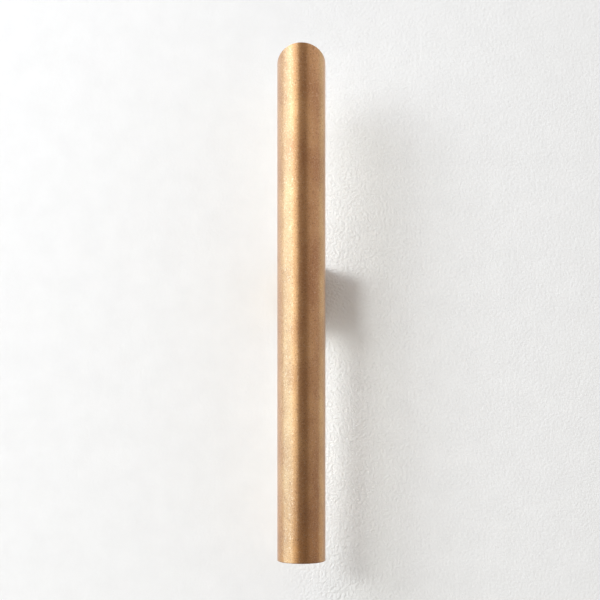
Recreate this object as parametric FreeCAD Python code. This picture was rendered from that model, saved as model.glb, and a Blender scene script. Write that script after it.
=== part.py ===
"""Up and down wall light: a brass tube held off the wall by a small box, with a lamp at each end.

Frame: the wall is the plane y = 0 and the room lies towards -y. Z is up, and the origin is the
middle of the mounting box's footprint on the wall. Lengths are in millimetres, angles in degrees.
"""
import FreeCAD
import Part
import math
import os

Vector = FreeCAD.Vector
UP = Vector(0, 0, 1)
FORWARD = Vector(0, -1, 0)
BACKWARD = Vector(0, 1, 0)
SIDEWAYS = Vector(1, 0, 0)

# How far a cutting shape runs past the face that it cuts.
overrun = 1.0
# Room between pieces that are slid together, and between flat faces that are pulled together.
sliding_room = 0.3
close_room = 0.05

# Tube: 2 1/4 inch by 24 inch brass tube, its top cut on a slant that faces the wall.
tube_diameter = 57.15
tube_wall = 1.5
tube_length = 609.6
tube_cut_angle = 38.5
tube_edge_break = 0.3
# From the wall to the front of the tube.
overall_depth = 101.6
# From the tube's foot to the middle of the mounting box.
box_above_foot = 315.0

# Mounting box: a brass box open to the wall, its front shaped to the tube's back.
box_width = 45.0
box_height = 70.0
box_wall = 1.5
box_edge_radius = 0.8
saddle_room = 0.1

# Wall bracket: steel plate with a bent tab at the top and bottom.
bracket_thickness = 2.0
bracket_side_room = 0.5
bracket_tab_width = 20.0
bracket_tab_depth = 18.0
bracket_bend_radius = 1.2
bracket_relief = 5.0
wall_slot_spacing = 52.0
wall_slot_width = 4.5
wall_slot_length = 7.0
cable_hole_diameter = 12.0
cable_hole_height = 13.0

# Screws that lock the box onto the bracket, one in the top face and one in the bottom.
lock_screw_diameter = 4.0
lock_screw_length = 8.0
lock_screw_from_wall = 12.0
lock_head_diameter = 7.5
lock_head_height = 2.2
hex_socket_across = 2.5
hex_socket_depth = 1.3
screw_hole_room = 0.25
thread_room = 0.03

# Screws that clamp the box, the tube and the lamp carrier together.
clamp_screw_diameter = 4.0
clamp_screw_spacing = 40.0
clamp_head_diameter = 8.0
clamp_head_height = 2.6
clamp_washer_diameter = 9.0
clamp_washer_thickness = 0.9
clamp_nut_diameter = 8.0
clamp_nut_height = 3.2

# Lamp carrier: a steel strip along the tube's back, with a centring disc at each end.
carrier_width = 20.0
carrier_thickness = 1.5
carrier_bend_radius = 1.5
carrier_wall_room = 0.1
disc_rim_room = 0.35
disc_hole_diameter = 16.0
carrier_window_diameter = 11.0

# Rubber grommet through the tube and the box.
grommet_neck_diameter = 12.0
grommet_flange_diameter = 16.0
grommet_flange_thickness = 1.6
grommet_bore_diameter = 8.0
grommet_room = 0.05

# Lampholder for a twist-lock lamp with two headed pins: a ceramic plate with keyhole slots, a ring
# round the chamber where the pins' heads turn, and a ceramic rear with the contacts.
holder_diameter = 32.0
holder_plate_height = 3.3
holder_ring_height = 5.7
holder_rear_height = 9.0
holder_edge_break = 0.6
holder_screw_radius_place = 11.0
holder_screw_diameter = 3.0
holder_head_diameter = 5.5
holder_head_height = 1.6
holder_head_recess = 1.9
holder_nut_across = 5.5
holder_nut_height = 2.4
pin_spacing = 10.0
pin_neck_diameter = 3.1
pin_head_diameter = 5.0
pin_neck_length = 3.6
pin_head_length = 2.8
slot_side_room = 0.25
head_side_room = 0.3
way_in_room = 0.5
twist_angle = 45.0
contact_strip_thickness = 0.5
contact_width = 3.0
contact_length = 3.2
contact_gap = 0.3
contact_seat_room = 0.1
lead_bore_room = 0.3

# Lamp: a reflector lamp of 50 mm, pushed in and turned to lock.
lamp_diameter = 50.0
lamp_length = 46.5
lamp_seat_gap = 0.3
lamp_shell_wall = 1.2
lamp_neck_diameter = 24.6
lamp_collar_height = 6.0
lamp_neck_top = 13.0
lamp_spigot_height = 8.0
lamp_base_wall = 1.6
lamp_base_floor = 2.2
lamp_rim_height = 6.0
lamp_flare_rise_share = 0.46
lamp_flare_reach_share = 0.6
lens_thickness = 1.9
lens_recess = 0.6
lens_ledge = 1.0
lens_room = 0.1
led_plate_thickness = 2.0
led_plate_height = 22.0
led_board_thickness = 1.6
led_board_diameter = 26.0
led_side = 3.0
led_thickness = 0.7
led_ring_diameter = 15.0
led_count = 6
driver_width = 15.0
driver_height = 16.0
driver_thickness = 1.2
driver_parts_height = 4.0
driver_capacitor_diameter = 6.0
driver_capacitor_length = 8.0
driver_coil_side = 6.0
driver_coil_height = 6.5
upper_lamp_recess = 20.0
lower_lamp_recess = 20.0

# Terminal block with three ways, screwed to the bracket: earth, neutral and live from the bottom.
way_count = 3
way_pitch = 9.0
terminal_width = 16.0
terminal_depth = 14.0
terminal_middle_height = -7.5
terminal_bore_diameter = 5.1
clamp_tube_length = 13.0
clamp_tube_wall = 0.75
wire_screw_diameter = 3.0
wire_screw_recess = 0.8
wire_screw_place = 3.5
driver_slot_width = 0.6
driver_slot_depth = 0.8
block_screw_diameter = 2.5
block_head_diameter = 4.4
block_head_height = 1.6

# Internal leads. In the tube they follow the carrier, then turn through the grommet into the box.
# They pass the grommet in a ring, the earth lead at its foot.
lead_count = 5
lead_diameter = 2.0
conductor_diameter = 0.9
conductor_length = 5.5
conductor_back = 0.65
lead_pair_pitch = 2.1
lead_ring_diameter = 5.0
lead_spread = 6.5
lead_strip_gap = 0.75
lead_turn_depth = 12.0
lead_lane_room = 5.0
lead_lane_spread = 0.4
lead_end_room = 0.5
# Parts of the carrier's arm where a lead leaves its lampholder's line, has reached the strip and,
# from the other end, turns in to the grommet.
lead_drop_share = 0.085
lead_slant_share = 0.3
lead_turn_in_share = 0.07
# Part of the room between the grommet and the terminal block where the first leads turn aside.
lead_first_turn_share = 0.2
# Parts of a straight run that an arc may take at the lead's ends and between two arcs.
lead_end_run_share = 0.9
lead_middle_run_share = 0.48
lead_volume_error_share = 0.01
least_turn = 0.001

# Nylon clips that hold the leads to the carrier.
clip_height = 8.0
clip_width = 18.0
clip_depth = 4.0
clip_mouth = 1.6
clip_peg_diameter = 3.0
clip_bore_room = 0.1
clip_pitch = 40.0

# Earth tag on the carrier.
tag_below_middle = 48.0
tag_ring_diameter = 6.5
tag_thickness = 0.8
tag_barrel_diameter = 3.2
tag_barrel_length = 5.0
tag_neck_width = 3.0
earth_screw_diameter = 3.0
earth_head_diameter = 5.5
earth_head_height = 2.0

# Places that follow from the sizes above.
tube_radius = tube_diameter / 2
bore_radius = tube_radius - tube_wall
axis_y = tube_radius - overall_depth
tube_foot = -box_above_foot
tube_front_top = tube_foot + tube_length
tube_back_top = tube_front_top - tube_diameter * math.tan(math.radians(tube_cut_angle))
saddle_radius = tube_radius + saddle_room
saddle_inner_radius = saddle_radius + box_wall
box_half_width = box_width / 2
box_half_height = box_height / 2
cavity_half_width = box_half_width - box_wall
cavity_half_height = box_half_height - box_wall
strip_back = math.sqrt((bore_radius - carrier_wall_room) ** 2 - (carrier_width / 2) ** 2)
strip_front = strip_back - carrier_thickness
disc_radius = bore_radius - disc_rim_room
contact_seat_low = holder_plate_height + holder_ring_height + contact_strip_thickness
holder_height = holder_plate_height + holder_ring_height + holder_rear_height
pin_circle_radius = pin_spacing / 2
lead_radius = lead_diameter / 2
lead_line = strip_front - lead_strip_gap - lead_radius
upper_face = tube_back_top - upper_lamp_recess
lower_face = tube_foot + lower_lamp_recess
upper_seat = upper_face - lamp_length
lower_seat = lower_face + lamp_length
earth_way, neutral_way, live_way = range(way_count)
shell_neck_radius = lamp_neck_diameter / 2
shell_bore_radius = shell_neck_radius - lamp_shell_wall
lamp_radius = lamp_diameter / 2


def from_axis(x, back, z):
    """Point at x, at this distance behind the tube's axis, and at height z."""
    return Vector(x, axis_y + back, z)


def block(low, high):
    """Box between two opposite corners."""
    return Part.makeBox(high.x - low.x, high.y - low.y, high.z - low.z, low)


def rod(radius, start, direction, length):
    """Round bar of this length from start."""
    return Part.makeCylinder(radius, length, start, direction)


def upright(radius, low, high, x=0, back=0):
    """Round bar along the tube's axis, x and back giving its offset from it."""
    return rod(radius, from_axis(x, back, low), UP, high - low)


def polar(radius, angle, z):
    """Point at this radius and angle about an upright axis."""
    turn = math.radians(angle)
    return Vector(radius * math.cos(turn), radius * math.sin(turn), z)


def hexagon(across, start, direction, height):
    """Six-sided bar with this size across its flats."""
    corner_radius = across / math.sqrt(3)
    corners = [polar(corner_radius, turn, 0) for turn in range(0, 361, 60)]
    prism = Part.Face(Part.makePolygon(corners)).extrude(UP * height)
    prism.Placement = FreeCAD.Placement(start, FreeCAD.Rotation(UP, direction))
    return prism


def joined(shapes):
    """One solid from overlapping or touching shapes."""
    whole = shapes[0]
    for shape in shapes[1:]:
        whole = whole.fuse(shape)
    return whole.removeSplitter()


def without(shape, cutters):
    """Shape with each cutter taken away."""
    for cutter in cutters:
        shape = shape.cut(cutter)
    return shape


def bent_channel(back, low, high, depth, width, thickness, inner_radius):
    """Strip with an end bent forward at the top and at the bottom, made from one sheet.

    back is the y of its rear face, and low and high are its outer heights."""
    outer = inner_radius + thickness
    middle = math.sqrt(0.5)

    def corner(z, inward, radius):
        centre = Vector(0, back - outer, z + inward * outer)
        start = centre + Vector(0, 0, -inward * radius)
        between = centre + Vector(0, middle * radius, -inward * middle * radius)
        end = centre + Vector(0, radius, 0)
        return start, between, end

    def line(start, end):
        return Part.LineSegment(start, end).toShape()

    low_outer, low_inner = corner(low, 1, outer), corner(low, 1, inner_radius)
    high_outer, high_inner = corner(high, -1, outer), corner(high, -1, inner_radius)
    tip = back - depth
    low_tip, low_tip_inner = Vector(0, tip, low), Vector(0, tip, low + thickness)
    high_tip, high_tip_inner = Vector(0, tip, high), Vector(0, tip, high - thickness)
    edges = [
        line(low_tip, low_outer[0]),
        Part.Arc(*low_outer).toShape(),
        line(low_outer[2], high_outer[2]),
        Part.Arc(*reversed(high_outer)).toShape(),
        line(high_outer[0], high_tip),
        line(high_tip, high_tip_inner),
        line(high_tip_inner, high_inner[0]),
        Part.Arc(*high_inner).toShape(),
        line(high_inner[2], low_inner[2]),
        Part.Arc(*reversed(low_inner)).toShape(),
        line(low_inner[0], low_tip_inner),
        line(low_tip_inner, low_tip),
    ]
    face = Part.Face(Part.Wire(edges))
    face.translate(SIDEWAYS * (-width / 2))
    return face.extrude(SIDEWAYS * width)


def routed_lead(points):
    """Round lead along straight runs that are joined by arcs as large as the runs allow.

    A point in the middle of a straight run keeps that much of it straight."""
    edges = []
    at = points[0]
    turns = [
        (corner - before).getAngle(after - corner)
        for before, corner, after in zip(points, points[1:], points[2:])
    ]
    bends = [False] + [turn > least_turn for turn in turns] + [False]
    for number, turn in enumerate(turns, 1):
        before, corner, after = points[number - 1], points[number], points[number + 1]
        if not bends[number]:
            edges.append(Part.LineSegment(at, corner).toShape())
            at = corner
            continue
        incoming = (corner - before).normalize()
        outgoing = (after - corner).normalize()
        share_before = lead_middle_run_share if bends[number - 1] else lead_end_run_share
        share_after = lead_middle_run_share if bends[number + 1] else lead_end_run_share
        setback = min(share_before * (corner - before).Length, share_after * (after - corner).Length)
        radius = setback / math.tan(turn / 2)
        start = corner - incoming * setback
        end = corner + outgoing * setback
        bisector = (outgoing - incoming).normalize()
        middle = corner + bisector * (radius / math.cos(turn / 2) - radius)
        edges.append(Part.LineSegment(at, start).toShape())
        edges.append(Part.Arc(start, middle, end).toShape())
        at = end
    edges.append(Part.LineSegment(at, points[-1]).toShape())
    route = Part.Wire(edges)
    direction = (points[1] - points[0]).normalize()
    ring = Part.Wire(Part.makeCircle(lead_radius, points[0], direction))
    lead = route.makePipeShell([ring], True, False)
    expected = math.pi * lead_radius ** 2 * route.Length
    if abs(lead.Volume / expected - 1) > lead_volume_error_share:
        raise ValueError("a lead's volume isn't its section times its length")
    return lead


def save(name, *solids):
    """Writes the named node: one solid, or a group of separate ones."""
    shape = solids[0] if len(solids) == 1 else Part.makeCompound(list(solids))
    for solid in shape.Solids:
        if not solid.isValid() or solid.Volume <= 0:
            raise ValueError(name + " is not a sound solid")
    if len(shape.Solids) != len(solids):
        raise ValueError(name + " has another number of solids than it should")
    shape.exportStep("parts/" + name + ".step")


def clamp_heights():
    """Heights of the two screws that clamp the box to the tube."""
    return [-clamp_screw_spacing / 2, clamp_screw_spacing / 2]


def make_outer_tube():
    """Brass tube with a square foot, a slanted top and the holes in its back."""
    wall = upright(tube_radius, tube_foot, tube_front_top).cut(
        upright(bore_radius, tube_foot - overrun, tube_front_top + overrun)
    )
    reach = tube_diameter + overrun
    slope = math.tan(math.radians(tube_cut_angle))
    front, back = -tube_radius - overrun, tube_radius + overrun
    wedge = Part.Face(
        Part.makePolygon(
            [
                from_axis(-reach, front, tube_front_top + overrun * slope),
                from_axis(-reach, back, tube_back_top - overrun * slope),
                from_axis(-reach, back, tube_front_top + reach),
                from_axis(-reach, front, tube_front_top + reach),
                from_axis(-reach, front, tube_front_top + overrun * slope),
            ]
        )
    ).extrude(SIDEWAYS * (2 * reach))
    wall = wall.cut(wedge)
    ends = [edge for edge in wall.Edges if edge.isClosed()]
    wall = wall.makeFillet(tube_edge_break, ends)
    hole_start = bore_radius - tube_wall
    holes = [rod(grommet_neck_diameter / 2 + grommet_room, from_axis(0, hole_start, 0), BACKWARD, reach)]
    for height in clamp_heights():
        hole_radius = clamp_screw_diameter / 2 + screw_hole_room
        holes.append(rod(hole_radius, from_axis(0, hole_start, height), BACKWARD, reach))
    return without(wall, holes)


def make_mounting_box():
    """Brass box, open to the wall, with its front coped to the tube."""
    front = axis_y
    outer = block(
        Vector(-box_half_width, front, -box_half_height), Vector(box_half_width, 0, box_half_height)
    )
    long_edges = [
        edge
        for edge in outer.Edges
        if abs(edge.Vertexes[0].Point.y - edge.Vertexes[1].Point.y) > box_wall
    ]
    outer = outer.makeFillet(box_edge_radius, long_edges)
    cavity = block(
        Vector(-cavity_half_width, front, -cavity_half_height),
        Vector(cavity_half_width, overrun, cavity_half_height),
    )
    cavity = cavity.cut(upright(saddle_inner_radius, -box_height, box_height))
    shell = outer.cut(upright(saddle_radius, -box_height, box_height)).cut(cavity)
    holes = [rod(grommet_neck_diameter / 2 + grommet_room, Vector(0, axis_y, 0), BACKWARD, -axis_y)]
    for height in clamp_heights():
        hole_radius = clamp_screw_diameter / 2 + screw_hole_room
        holes.append(rod(hole_radius, Vector(0, axis_y, height), BACKWARD, -axis_y))
    lock_radius = lock_screw_diameter / 2 + screw_hole_room
    lock_start = Vector(0, -lock_screw_from_wall, -box_height)
    holes.append(rod(lock_radius, lock_start, UP, 2 * box_height))
    return without(shell, holes)


def make_wall_bracket():
    """Steel bracket: plate with slots for the wall screws, a cable hole and two tapped tabs."""
    half_height = cavity_half_height - sliding_room
    channel = bent_channel(
        0,
        -half_height,
        half_height,
        bracket_tab_depth,
        bracket_tab_width,
        bracket_thickness,
        bracket_bend_radius,
    )
    half_width = cavity_half_width - bracket_side_room
    plate_half_height = half_height - bracket_relief
    plate = block(
        Vector(-half_width, -bracket_thickness, -plate_half_height),
        Vector(half_width, 0, plate_half_height),
    )
    bracket = joined([channel, plate])
    through = bracket_thickness + 2 * overrun
    holes = [
        rod(cable_hole_diameter / 2, Vector(0, overrun, cable_hole_height), FORWARD, through),
        rod(
            lock_screw_diameter / 2 + thread_room,
            Vector(0, -lock_screw_from_wall, -box_height),
            UP,
            2 * box_height,
        ),
    ]
    straight = (wall_slot_length - wall_slot_width) / 2
    for middle in (-wall_slot_spacing / 2, wall_slot_spacing / 2):
        for end in (middle - straight, middle + straight):
            holes.append(rod(wall_slot_width / 2, Vector(0, overrun, end), FORWARD, through))
        holes.append(
            block(
                Vector(-wall_slot_width / 2, overrun - through, middle - straight),
                Vector(wall_slot_width / 2, overrun, middle + straight),
            )
        )
    for height in terminal_screw_heights():
        start = Vector(0, overrun, height)
        holes.append(rod(block_screw_diameter / 2 + thread_room, start, FORWARD, through))
    return without(bracket, holes)


def make_lock_screws():
    """Two button-head screws, one down through the box's top and one up through its bottom."""
    screws = []
    for side in (1, -1):
        inward = UP * -side
        seat = Vector(0, -lock_screw_from_wall, side * box_half_height)
        head = rod(lock_head_diameter / 2, seat, UP * side, lock_head_height)
        outer_rim = [
            edge for edge in head.Edges if edge.isClosed() and abs(edge.Vertexes[0].Z) > abs(seat.z)
        ]
        head = head.makeFillet(lock_head_height / 2, outer_rim)
        shank = rod(lock_screw_diameter / 2, seat, inward, lock_screw_length)
        socket_start = seat + UP * side * (lock_head_height - hex_socket_depth)
        socket = hexagon(hex_socket_across, socket_start, UP * side, hex_socket_depth + overrun)
        screws.append(joined([head, shank]).cut(socket))
    return screws


def make_clamp_screws():
    """Two pan-head screws from inside the box through the tube into the carrier's nuts."""
    seat_back = saddle_inner_radius + clamp_washer_thickness + close_room
    tip_back = strip_front - clamp_nut_height
    screws = []
    for height in clamp_heights():
        head = rod(clamp_head_diameter / 2, from_axis(0, seat_back, height), BACKWARD, clamp_head_height)
        top = [edge for edge in head.Edges if edge.isClosed() and edge.Vertexes[0].Y > axis_y + seat_back]
        head = head.makeFillet(clamp_head_height / 2, top)
        shank = rod(clamp_screw_diameter / 2, from_axis(0, tip_back, height), BACKWARD, seat_back - tip_back)
        recess_start = from_axis(0, seat_back + clamp_head_height - hex_socket_depth, height)
        recess = hexagon(hex_socket_across, recess_start, BACKWARD, hex_socket_depth + overrun)
        screws.append(joined([head, shank]).cut(recess))
    return screws


def make_clamp_washers():
    """Washers under the clamp screws' heads."""
    back = saddle_inner_radius
    bore = clamp_screw_diameter / 2 + screw_hole_room
    washers = []
    for height in clamp_heights():
        start = from_axis(0, back, height)
        disc = rod(clamp_washer_diameter / 2, start, BACKWARD, clamp_washer_thickness)
        washers.append(disc.cut(rod(bore, start, BACKWARD, clamp_washer_thickness)))
    return washers


def make_clamp_nuts():
    """Round clinch nuts on the carrier's front face."""
    nuts = []
    for height in clamp_heights():
        start = from_axis(0, strip_front, height)
        body = rod(clamp_nut_diameter / 2, start, FORWARD, clamp_nut_height)
        nuts.append(body.cut(rod(clamp_screw_diameter / 2 + thread_room, start, FORWARD, clamp_nut_height)))
    return nuts


def lead_heights(upward):
    """Heights where an arm's leads leave the lampholder's line, reach the strip and turn in."""
    start = upper_seat - holder_height if upward else lower_seat + holder_height
    finish = (clamp_screw_spacing + clamp_nut_diameter) / (2 if upward else -2)
    arm = finish - start
    return start + lead_drop_share * arm, start + lead_slant_share * arm, finish - lead_turn_in_share * arm


def clip_heights():
    """Heights of the lead clips, spread evenly where the leads follow the carrier's two arms."""
    heights = []
    for upward in (True, False):
        first, last = lead_heights(upward)[1:]
        count = int(abs(last - first) / clip_pitch)
        for place in range(count):
            heights.append(first + (last - first) * (place + 1) / (count + 1))
    return heights


def make_lamp_carrier():
    """Steel strip with a round plate at each end that centres it in the tube."""
    low = lower_seat + holder_height
    high = upper_seat - holder_height
    depth = strip_back
    channel = bent_channel(
        axis_y + strip_back, low, high, depth, carrier_width, carrier_thickness, carrier_bend_radius
    )
    bend_front = strip_back - carrier_bend_radius - carrier_thickness
    notch_half = carrier_width / 2 + carrier_thickness
    pieces = [channel]
    for disc_low in (low, high - carrier_thickness):
        disc = upright(disc_radius, disc_low, disc_low + carrier_thickness)
        notch = block(
            from_axis(-notch_half, bend_front, disc_low - overrun),
            from_axis(notch_half, tube_radius, disc_low + carrier_thickness + overrun),
        )
        pieces.append(disc.cut(notch))
    carrier = joined(pieces)
    through = carrier_thickness + 2 * overrun
    strip_start = strip_front - overrun
    holes = [
        upright(disc_hole_diameter / 2, low - overrun, low + carrier_thickness + overrun),
        upright(disc_hole_diameter / 2, high - carrier_thickness - overrun, high + overrun),
        rod(carrier_window_diameter / 2, from_axis(0, strip_start, 0), BACKWARD, through),
        rod(
            earth_screw_diameter / 2 + thread_room,
            from_axis(0, strip_start, -tag_below_middle),
            BACKWARD,
            through,
        ),
    ]
    for height in clamp_heights():
        radius = clamp_screw_diameter / 2 + screw_hole_room
        holes.append(rod(radius, from_axis(0, strip_start, height), BACKWARD, through))
    for height in clip_heights():
        radius = clip_peg_diameter / 2 + clip_bore_room
        holes.append(rod(radius, from_axis(0, strip_start, height), BACKWARD, through))
    for side in (-1, 1):
        radius = holder_screw_diameter / 2 + screw_hole_room
        place = side * holder_screw_radius_place
        holes.append(upright(radius, low - overrun, low + carrier_thickness + overrun, 0, place))
        holes.append(upright(radius, high - carrier_thickness - overrun, high + overrun, 0, place))
    return without(carrier, holes)


def make_wire_grommet():
    """Rubber grommet whose neck fills the hole through the tube and the box."""
    inner_face = strip_back + 2 * grommet_room
    outer_face = saddle_inner_radius + grommet_flange_thickness
    neck = rod(
        grommet_neck_diameter / 2, from_axis(0, inner_face, 0), BACKWARD, outer_face - inner_face
    )
    flanges = rod(
        grommet_flange_diameter / 2, from_axis(0, inner_face, 0), BACKWARD, outer_face - inner_face
    )
    walls = upright(saddle_inner_radius + grommet_room, -box_height, box_height).cut(
        upright(bore_radius - grommet_room, -box_height, box_height)
    )
    bore = rod(
        grommet_bore_diameter / 2, from_axis(0, bore_radius / 2, 0), BACKWARD, outer_face
    )
    return joined([flanges.cut(walls), neck]).cut(bore)


def terminal_way_heights():
    """Heights of the terminal block's ways."""
    first = terminal_middle_height - way_pitch * (way_count - 1) / 2
    return [first + way_pitch * number for number in range(way_count)]


def terminal_screw_heights():
    """Heights of the screws that hold the terminal block, between its ways."""
    ways = terminal_way_heights()
    return [(lower + upper) / 2 for lower, upper in zip(ways, ways[1:])]


def terminal_way_y():
    """Depth of the ways' middle line."""
    return -bracket_thickness - terminal_depth / 2


def make_terminal_body():
    """Nylon body with a bore for each way and wells for its screws."""
    half_height = way_pitch * way_count / 2
    back = -bracket_thickness
    front = back - terminal_depth
    body = block(
        Vector(-terminal_width / 2, front, terminal_middle_height - half_height),
        Vector(terminal_width / 2, back, terminal_middle_height + half_height),
    )
    cutters = []
    for height in terminal_way_heights():
        start = Vector(-terminal_width / 2 - overrun, terminal_way_y(), height)
        cutters.append(rod(terminal_bore_diameter / 2, start, SIDEWAYS, terminal_width + 2 * overrun))
        for side in (-1, 1):
            well = Vector(side * wire_screw_place, front - overrun, height)
            radius = wire_screw_diameter / 2 + screw_hole_room
            cutters.append(rod(radius, well, BACKWARD, terminal_depth / 2 + overrun))
    for height in terminal_screw_heights():
        start = Vector(0, front - overrun, height)
        depth = terminal_depth + 2 * overrun
        cutters.append(rod(block_screw_diameter / 2 + screw_hole_room, start, BACKWARD, depth))
    return without(body, cutters)


def make_terminal_tubes():
    """Brass tube of each way, with two tapped holes."""
    outer = terminal_bore_diameter / 2 - close_room
    tubes = []
    for height in terminal_way_heights():
        start = Vector(-clamp_tube_length / 2, terminal_way_y(), height)
        tube = rod(outer, start, SIDEWAYS, clamp_tube_length)
        bore_start = start - SIDEWAYS * overrun
        bore_length = clamp_tube_length + 2 * overrun
        tube = tube.cut(rod(outer - clamp_tube_wall, bore_start, SIDEWAYS, bore_length))
        for side in (-1, 1):
            hole_start = Vector(side * wire_screw_place, terminal_way_y(), height)
            radius = wire_screw_diameter / 2 + thread_room
            tube = tube.cut(rod(radius, hole_start, FORWARD, terminal_depth))
        tubes.append(tube)
    return tubes


def slotted(screw, end, diameter):
    """Screw with a slot for a driver across the end that faces the room."""
    half = Vector(diameter, 0, driver_slot_width / 2)
    return screw.cut(block(end - half + FORWARD * overrun, end + half + BACKWARD * driver_slot_depth))


def make_wire_screws():
    """Two small slotted screws for each way."""
    head_face = -bracket_thickness - terminal_depth + wire_screw_recess
    tip = lead_end_y() - conductor_diameter / 2 - close_room
    screws = []
    for height in terminal_way_heights():
        for side in (-1, 1):
            start = Vector(side * wire_screw_place, head_face, height)
            screw = rod(wire_screw_diameter / 2, start, BACKWARD, tip - head_face)
            screws.append(slotted(screw, start, wire_screw_diameter))
    return screws


def make_block_screws():
    """Screws that hold the terminal block to the bracket."""
    head_seat = -bracket_thickness - terminal_depth
    screws = []
    for height in terminal_screw_heights():
        seat = Vector(0, head_seat, height)
        head = rod(block_head_diameter / 2, seat, FORWARD, block_head_height)
        shank = rod(block_screw_diameter / 2, seat, BACKWARD, terminal_depth + bracket_thickness)
        top = seat + FORWARD * block_head_height
        screws.append(slotted(joined([head, shank]), top, block_head_diameter))
    return screws


def on_axis(shape, seat, upward):
    """Moves a shape from the lamp's own frame to its place in the tube.

    In that frame z is 0 at the lampholder's front face and grows towards the lamp's lens."""
    turned = shape.copy()
    if not upward:
        turned.rotate(Vector(0, 0, 0), SIDEWAYS, 180)
    turned.translate(from_axis(0, 0, seat))
    return turned


def pin_sides():
    """Directions of the two pins when the lamp is locked."""
    return [0, 180]


def pin_track(half_width, start_angle):
    """Cutter for the curved slot that a pin's neck sweeps in the front plate, with round ends."""
    low = -holder_plate_height - overrun
    inner, outer = pin_circle_radius - half_width, pin_circle_radius + half_width
    end_angle = start_angle + twist_angle
    middle_angle = start_angle + twist_angle / 2
    first_tip = polar(pin_circle_radius, start_angle, low) + polar(half_width, start_angle - 90, 0)
    last_tip = polar(pin_circle_radius, end_angle, low) + polar(half_width, end_angle + 90, 0)
    corners = [
        (polar(outer, start_angle, low), polar(outer, middle_angle, low), polar(outer, end_angle, low)),
        (polar(outer, end_angle, low), last_tip, polar(inner, end_angle, low)),
        (polar(inner, end_angle, low), polar(inner, middle_angle, low), polar(inner, start_angle, low)),
        (polar(inner, start_angle, low), first_tip, polar(outer, start_angle, low)),
    ]
    outline = Part.Wire([Part.Arc(*points).toShape() for points in corners])
    return Part.Face(outline).extrude(UP * (holder_plate_height + 2 * overrun))


def holder_screw_holes(low, high):
    """Cutters for the holder's two screws between these heights."""
    radius = holder_screw_diameter / 2 + screw_hole_room
    places = [Vector(0, side * holder_screw_radius_place, low - overrun) for side in (-1, 1)]
    return [rod(radius, place, UP, high - low + 2 * overrun) for place in places]


def make_holder_plate():
    """Ceramic front plate with a keyhole slot for each pin and its screws' heads sunk in it."""
    low = -holder_plate_height
    body = rod(holder_diameter / 2, Vector(0, 0, low), UP, holder_plate_height)
    front_edge = [edge for edge in body.Edges if edge.isClosed() and edge.Vertexes[0].Z > low / 2]
    body = body.makeChamfer(holder_edge_break, front_edge)
    way_in_radius = pin_head_diameter / 2 + way_in_room
    cutters = holder_screw_holes(low, 0)
    for start_angle in pin_sides():
        cutters.append(pin_track(pin_neck_diameter / 2 + slot_side_room, start_angle))
        way_in = polar(pin_circle_radius, start_angle + twist_angle, low - overrun)
        cutters.append(rod(way_in_radius, way_in, UP, holder_plate_height + 2 * overrun))
    for side in (-1, 1):
        recess = Vector(0, side * holder_screw_radius_place, -holder_head_recess)
        radius = holder_head_diameter / 2 + screw_hole_room
        cutters.append(rod(radius, recess, UP, holder_head_recess + overrun))
    return without(body, cutters)


def make_holder_ring():
    """Ceramic ring round the chamber where the pins' heads turn."""
    low = -holder_plate_height - holder_ring_height
    body = rod(holder_diameter / 2, Vector(0, 0, low), UP, holder_ring_height)
    chamber_radius = pin_circle_radius + pin_head_diameter / 2 + head_side_room
    chamber = rod(chamber_radius, Vector(0, 0, low - overrun), UP, holder_ring_height + 2 * overrun)
    return without(body, [chamber] + holder_screw_holes(low, -holder_plate_height))


def make_holder_rear():
    """Ceramic rear with seats for the contacts and a bore for each lead."""
    top = holder_rear_height - holder_height
    body = rod(holder_diameter / 2, Vector(0, 0, -holder_height), UP, holder_rear_height)
    rear_edge = [
        edge for edge in body.Edges if edge.isClosed() and edge.Vertexes[0].Z < -holder_height + overrun
    ]
    body = body.makeChamfer(holder_edge_break, rear_edge)
    cutters = holder_screw_holes(-holder_height, top)
    seat_half_length = contact_length / 2 + contact_seat_room
    seat_half_width = contact_width / 2 + contact_seat_room
    for side in (-1, 1):
        middle = side * pin_circle_radius
        cutters.append(
            block(
                Vector(middle - seat_half_length, -seat_half_width, -contact_seat_low),
                Vector(middle + seat_half_length, seat_half_width, top + overrun),
            )
        )
        bore_start = Vector(middle, 0, -holder_height - overrun)
        cutters.append(rod(lead_radius + lead_bore_room, bore_start, UP, holder_rear_height + overrun))
    return without(body, cutters)


def make_contacts():
    """Two springy strips bent back over themselves, one under each pin."""
    pin_end = lamp_pin_low()
    top = pin_end - contact_gap
    base = -contact_seat_low
    half_length, half_width = contact_length / 2, contact_width / 2
    contacts = []
    for side in (-1, 1):
        middle = side * pin_circle_radius
        whole = block(
            Vector(middle - half_length, -half_width, base), Vector(middle + half_length, half_width, top)
        )
        inner_side = middle - side * (half_length + overrun)
        outer_side = middle + side * (half_length - contact_strip_thickness)
        gap = block(
            Vector(min(inner_side, outer_side), -contact_width, base + contact_strip_thickness),
            Vector(max(inner_side, outer_side), contact_width, top - contact_strip_thickness),
        )
        contacts.append(whole.cut(gap))
    return contacts


def make_holder_screws():
    """Cheese-head screws, sunk in the front plate, that pass through the ceramics and the carrier."""
    length = holder_height - holder_head_recess + carrier_thickness + holder_nut_height
    screws = []
    for side in (-1, 1):
        seat = Vector(0, side * holder_screw_radius_place, -holder_head_recess)
        head = rod(holder_head_diameter / 2, seat, UP, holder_head_height)
        shank = rod(holder_screw_diameter / 2, seat - UP * length, UP, length)
        head_top = seat.z + holder_head_height
        half_slot = driver_slot_width / 2
        slot = block(
            Vector(-holder_head_diameter, seat.y - half_slot, head_top - driver_slot_depth),
            Vector(holder_head_diameter, seat.y + half_slot, head_top + overrun),
        )
        screws.append(joined([head, shank]).cut(slot))
    return screws


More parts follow.
